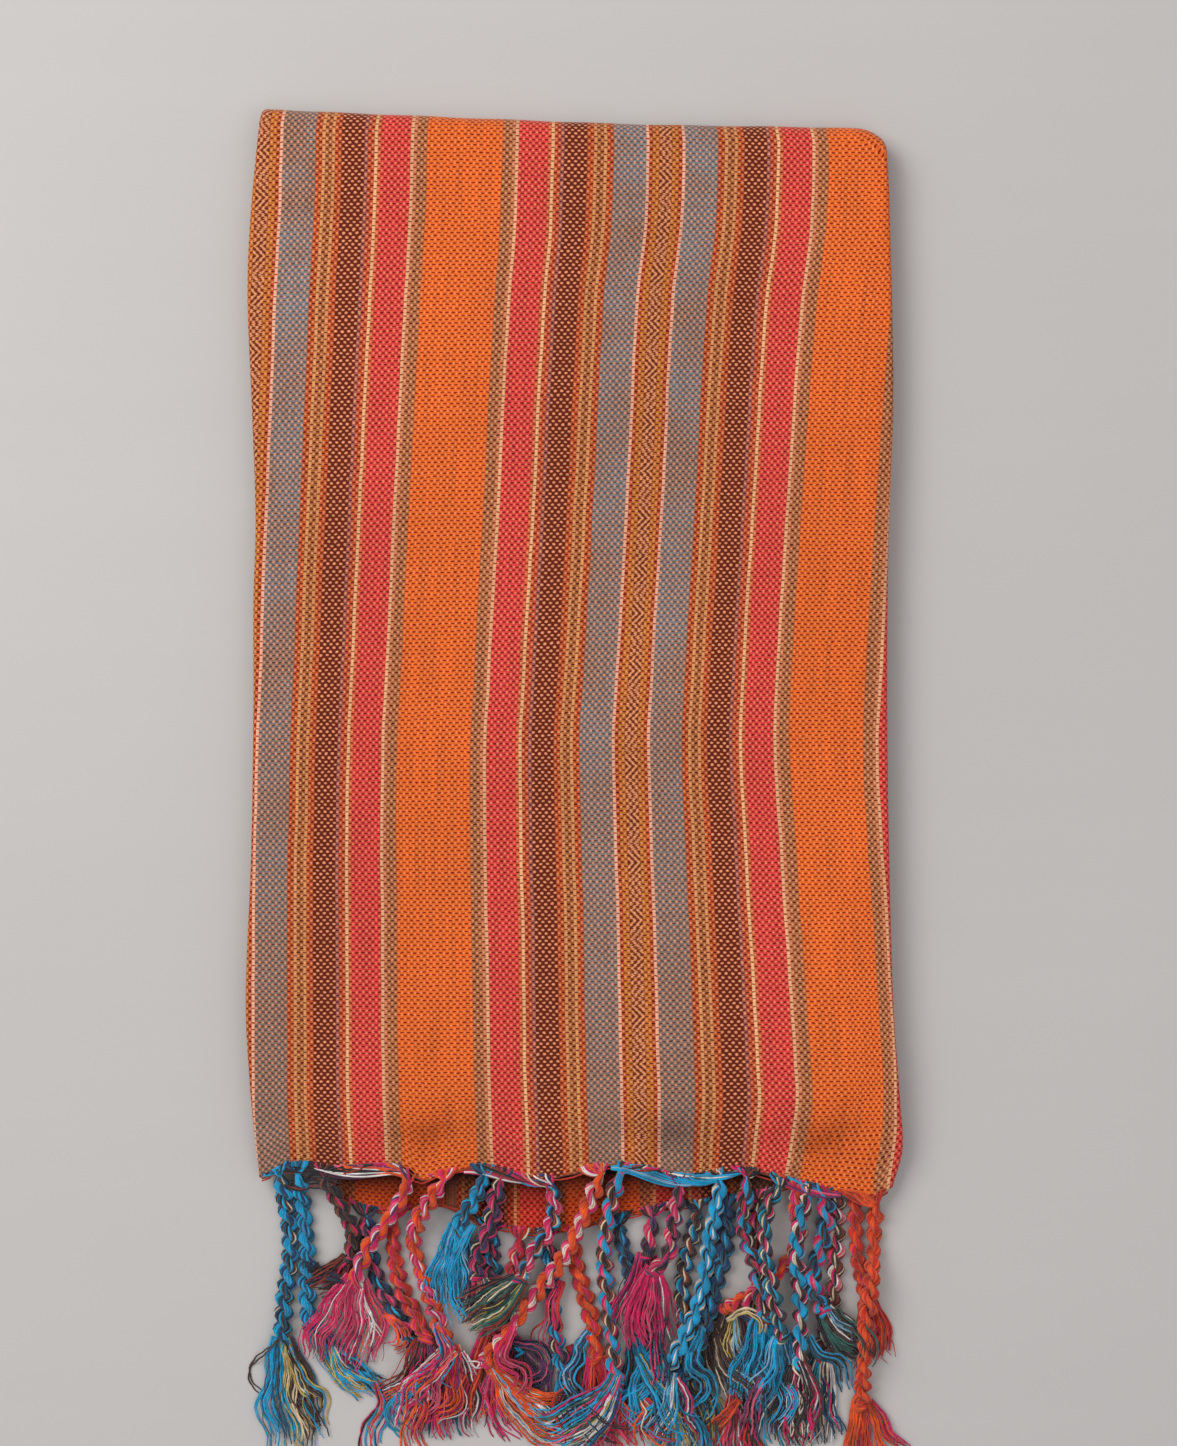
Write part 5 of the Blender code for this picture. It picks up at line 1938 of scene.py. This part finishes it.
# Loose locks and loops over the tassels: their places and their dyes
LOOSE_LOCKS = (
    (((-27, -202), (-24, -214), (-13, -224), (5, -228)), "OOCOLWO"),
    (((-30, -204), (-31, -215), (-25, -225), (-20, -230)), "MMPV"),
    (((15, -204), (9, -214), (-4, -223), (-16, -228)), "TMPTGWNT"),
    (((-83, -172), (-90, -169), (-97, -164), (-96, -169)), "KKN"),
    (((-77, -174), (-80, -189), (-85, -203), (-83, -211)), "MPW"),
    (((-77, -174), (-75, -184), (-70, -190), (-66, -192)), "WO"),
    (((-69, -184), (-64, -187), (-62, -194), (-64, -199)), "OPO"),
    (((-43, -196), (-52, -204), (-59, -212), (-60, -225)), "WMOPM"),
    (((-42, -197), (-44, -208), (-49, -221), (-50, -230)), "MMOV"),
    (((-41, -197), (-36, -210), (-38, -221), (-35, -230)), "WMK"),
    (((-40, -198), (-36, -202), (-33, -200), (-35, -197)), "W"),
    (((-22, -194), (-13, -197), (-13, -206), (-23, -207)), "VKNP"),
    (((-5, -172), (-8, -181), (-11, -190), (-9, -197)), "RMRP"),
    (((-37, -151), (-43, -163), (-45, -174), (-39, -185)), "TTLT"),
    (((5, -190), (0, -201), (-1, -212), (5, -221)), "TNKL"),
    (((23, -199), (29, -208), (33, -217), (41, -225)), "TEGYT"),
    (((29, -196), (23, -207), (22, -219), (23, -230)), "TTG"),
    (((45, -204), (49, -211), (51, -219), (47, -228)), "YYT"),
    (((50, -187), (53, -198), (59, -208), (66, -217)), "BKBBC"),
    (((55, -186), (61, -182), (67, -186), (64, -193)), "CY"),
    (((60, -184), (67, -189), (66, -196), (60, -199)), "LN"),
    (((72, -196), (75, -207), (77, -217), (76, -228)), "TTTL"),
    (((81, -199), (85, -208), (84, -219), (81, -228)), "BKMW"),
    (((94, -181), (98, -187), (102, -194), (101, -202)), "GBK"),
    (((-9, -214), (0, -218), (9, -225), (16, -230)), "KBET"),
    (((-56, -207), (-63, -214), (-65, -223), (-62, -230)), "TTL"),
    (((13, -214), (21, -221), (31, -227), (41, -230)), "ROMT"),
    (((59, -214), (54, -221), (52, -226), (53, -230)), "ROR"),
    (((-88, -196), (-85, -204), (-81, -210), (-77, -214)), "WYT"),
    (((-107, -193), (-114, -199), (-117, -208), (-113, -217)), "B"),
    (((-107, -134), (-101, -137), (-94, -138), (-86, -141)), "KKU"),
    (((-104, -197), (-99, -207), (-93, -214), (-91, -225)), "BYTC"),
    (((36, -206), (40, -214), (38, -222), (42, -232)), "MNWE"),
    (((68, -205), (64, -213), (66, -222), (62, -232)), "MVKP"),
    (((88, -205), (92, -213), (90, -222), (93, -231)), "EKTM"),
    (((84, -190), (88, -197), (96, -203), (97, -214)), "TEK"),
    (((-22, -186), (-26, -198), (-20, -206), (-26, -216)), "MRPM"),
    (((-50, -186), (-47, -196), (-52, -206), (-48, -216)), "TPNL"),
    (((-2, -196), (2, -206), (-3, -216), (2, -228)), "RKMB"),
    (((33, -183), (29, -193), (33, -203), (29, -212)), "KMNP"),
    (((46, -188), (42, -198), (46, -208), (40, -217)), "TETN"),
    (((22, -212), (28, -218), (26, -225), (31, -233)), "OMRC"),
    (((46, -202), (42, -211), (47, -221), (43, -233)), "KBYTE"),
    (((76, -206), (80, -215), (77, -224), (82, -234)), "KBMKT"),
    (((66, -200), (70, -210), (66, -219), (72, -231)), "TEKT"),
    (((-72, -209), (-69, -217), (-73, -226), (-70, -236)), "TMOK"),
    (((-58, -206), (-55, -216), (-60, -226), (-57, -238)), "ORMO"),
)


# Bundles along the front hem: from x to x, their thickness and their dyes
HEM_BUNDLES = (
    (13, 47, 2.3, "TTTLTTTW"), (73, 96, 1.9, "MMPMMV"), (-94, -60, 1.9, "KVKWKVKM"),
    (-108, -88, 1.8, "KKBKU"), (-40, -14, 1.4, "WPUMOP"), (47, 60, 1.3, "TNTW"),
)


@dataclass
class Studio:
    """The pale board, the soft window light from the left and the camera above."""

    centre: Pair = (4.9, 29.9)
    frame_height: float = 520.6
    # The camera's lens and the height of its sensor, and how high the scarf's face lies
    lens: float = 80.0
    sensor: float = 36.0
    face: float = 10.0
    board_size: float = 3.2
    # The lamps: their places and sizes in metres, watts and colours
    lamps: tuple[tuple[str, Colour, float, float, Colour], ...] = (
        ("window", (-0.8, 0.6, 1.2), 1.0, 16.6, (255, 252, 248)),
        ("room", (0.5, -0.3, 1.9), 1.6, 9.0, (255, 250, 245)),
    )
    aim: Colour = (0.0, 0.02, 0.0)
    room_colour: Colour = (236, 236, 240)
    room_light: float = 0.48

    def board(self) -> None:
        """Lays the board under the scarf."""
        Bench.clear()
        bpy.ops.mesh.primitive_grid_add(x_subdivisions=24, y_subdivisions=24, size=self.board_size)
        board = bpy.context.view_layer.objects.active
        board.name = "board"
        board.data.materials.append(BoardFinish().make())

    def lamp(self, name: str, place: Colour, size: float, watts: float, colour: Colour) -> None:
        """Hangs a soft square lamp that looks at the scarf's middle.

        Args:
            name: the lamp's name.
            place: where it hangs, in metres.
            size: its side in metres.
            watts: its strength.
            colour: its colour.
        """
        Bench.clear()
        bpy.ops.object.light_add(type="AREA", location=place)
        lamp = bpy.context.view_layer.objects.active
        lamp.name = name
        lamp.data.size = size
        lamp.data.energy = watts
        lamp.data.color = linear(colour)[:3]
        aim = Vector(self.aim) - Vector(place)
        lamp.rotation_euler = aim.to_track_quat("-Z", "Y").to_euler()

    def camera(self) -> None:
        """Hangs the camera straight above, with the photograph's frame."""
        Bench.clear()
        distance = self.frame_height * self.lens / self.sensor + self.face
        place = Vector((*self.centre, distance)) * MM
        bpy.ops.object.camera_add(location=place, rotation=(0, 0, 0))
        camera = bpy.context.view_layer.objects.active
        camera.data.lens = self.lens
        camera.data.clip_end = 20
        bpy.context.scene.camera = camera

    def make(self) -> None:
        """Sets up the whole studio."""
        self.board()
        for lamp in self.lamps:
            self.lamp(*lamp)
        world = bpy.data.worlds.new("room_light")
        world.use_nodes = True
        light = world.node_tree.nodes["Background"].inputs
        light["Color"].default_value = linear(self.room_colour)
        light["Strength"].default_value = self.room_light
        bpy.context.scene.world = world
        bpy.context.scene.view_settings.view_transform = "Standard"
        self.camera()


def no_cloth(place: Vector, radius: float) -> float:
    """The board alone lies under this strand."""
    return 0.0


def over_other_end(shape: FoldedShape) -> Callable[[Vector, float], float]:
    """What keeps the upper strands clear of the other end's cloth.

    Args:
        shape: the folded scarf's shape.

    Returns:
        The lowest height at a place for a radius.
    """
    beside, below, clear = 3.0, 5.0, 1.6

    def floor(place: Vector, radius: float) -> float:
        """The lowest height at a place.

        Args:
            place: the place.
            radius: the strand's radius there.

        Returns:
            The height.
        """
        if not shape.under_left - beside < place.x < shape.under_right + beside:
            return 0.0
        if place.y < smooth_value(shape.under_hem, place.x) - below:
            return 0.0
        return shape.under_height(place.x, place.y) + radius + clear

    return floor


def lay_fringes(under: Fringe, front: Fringe) -> None:
    """Lays both fringes' cords and tassels, and then the loose locks over them.

    Args:
        under: the other end's fringe.
        front: the upper end's fringe.
    """
    under.lay_out()
    front.lay_out()
    settling = Settling()
    laid = settling.lay(under.tassels + front.tassels)
    steps, radius = 9, 0.5
    for places, dyes in LOOSE_LOCKS:
        route = through([Vector(place) for place in places], steps)
        strand = Strand(route, [radius] * steps)
        settling.strew(strand, front.floor, laid)
        front.loose.append((strand, dyes))


def main() -> None:
    """Makes the scarf piece by piece and hangs every piece on the root body."""
    logging.basicConfig(level=logging.INFO, format="%(message)s")
    shape, chart = FoldedShape(), StripeChart()
    Studio().make()
    LOG.info("studio: board, two lamps and the camera")

    outer = OuterCloth(shape, chart).make(WovenFinish("striped_weave").make())
    # Painted shade: the hidden layers and the other end are darker copies of the cloth
    shaded = WovenFinish("striped_weave_shaded_inside", shade=0.8).make()
    # The other end also gets a painted reddish bounce light, and painted shade under the upper hem
    below = WovenFinish("striped_weave_shaded_below", 0.8, glow=(255, 206, 184), dim_from=(137.0, 15.0))
    other = OtherEnd(shape, chart).make(below.make())
    layers = FoldedLayers(shape, chart).make(shaded)

    finishes = {dye.letter: YarnFinish(dye).make() for dye in Dye}
    front = Fringe(
        "front", "front_fringe", shape, FRONT_ROWS, shape.front_hem, shape.front_height,
        over_other_end(shape), 11, bundles=HEM_BUNDLES,
    )
    under = Fringe(
        "under", "under_fringe", shape, UNDER_ROWS, shape.under_hem, shape.under_height, no_cloth, 7
    )
    lay_fringes(under, front)
    under_pieces, front_pieces = under.make(finishes), front.make(finishes)

    for piece in [outer, other, layers, *under_pieces, *front_pieces]:
        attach(piece, "root")
        LOG.info("%s: %d faces", piece.name, len(piece.data.polygons))


if __name__ == "__main__":
    main()
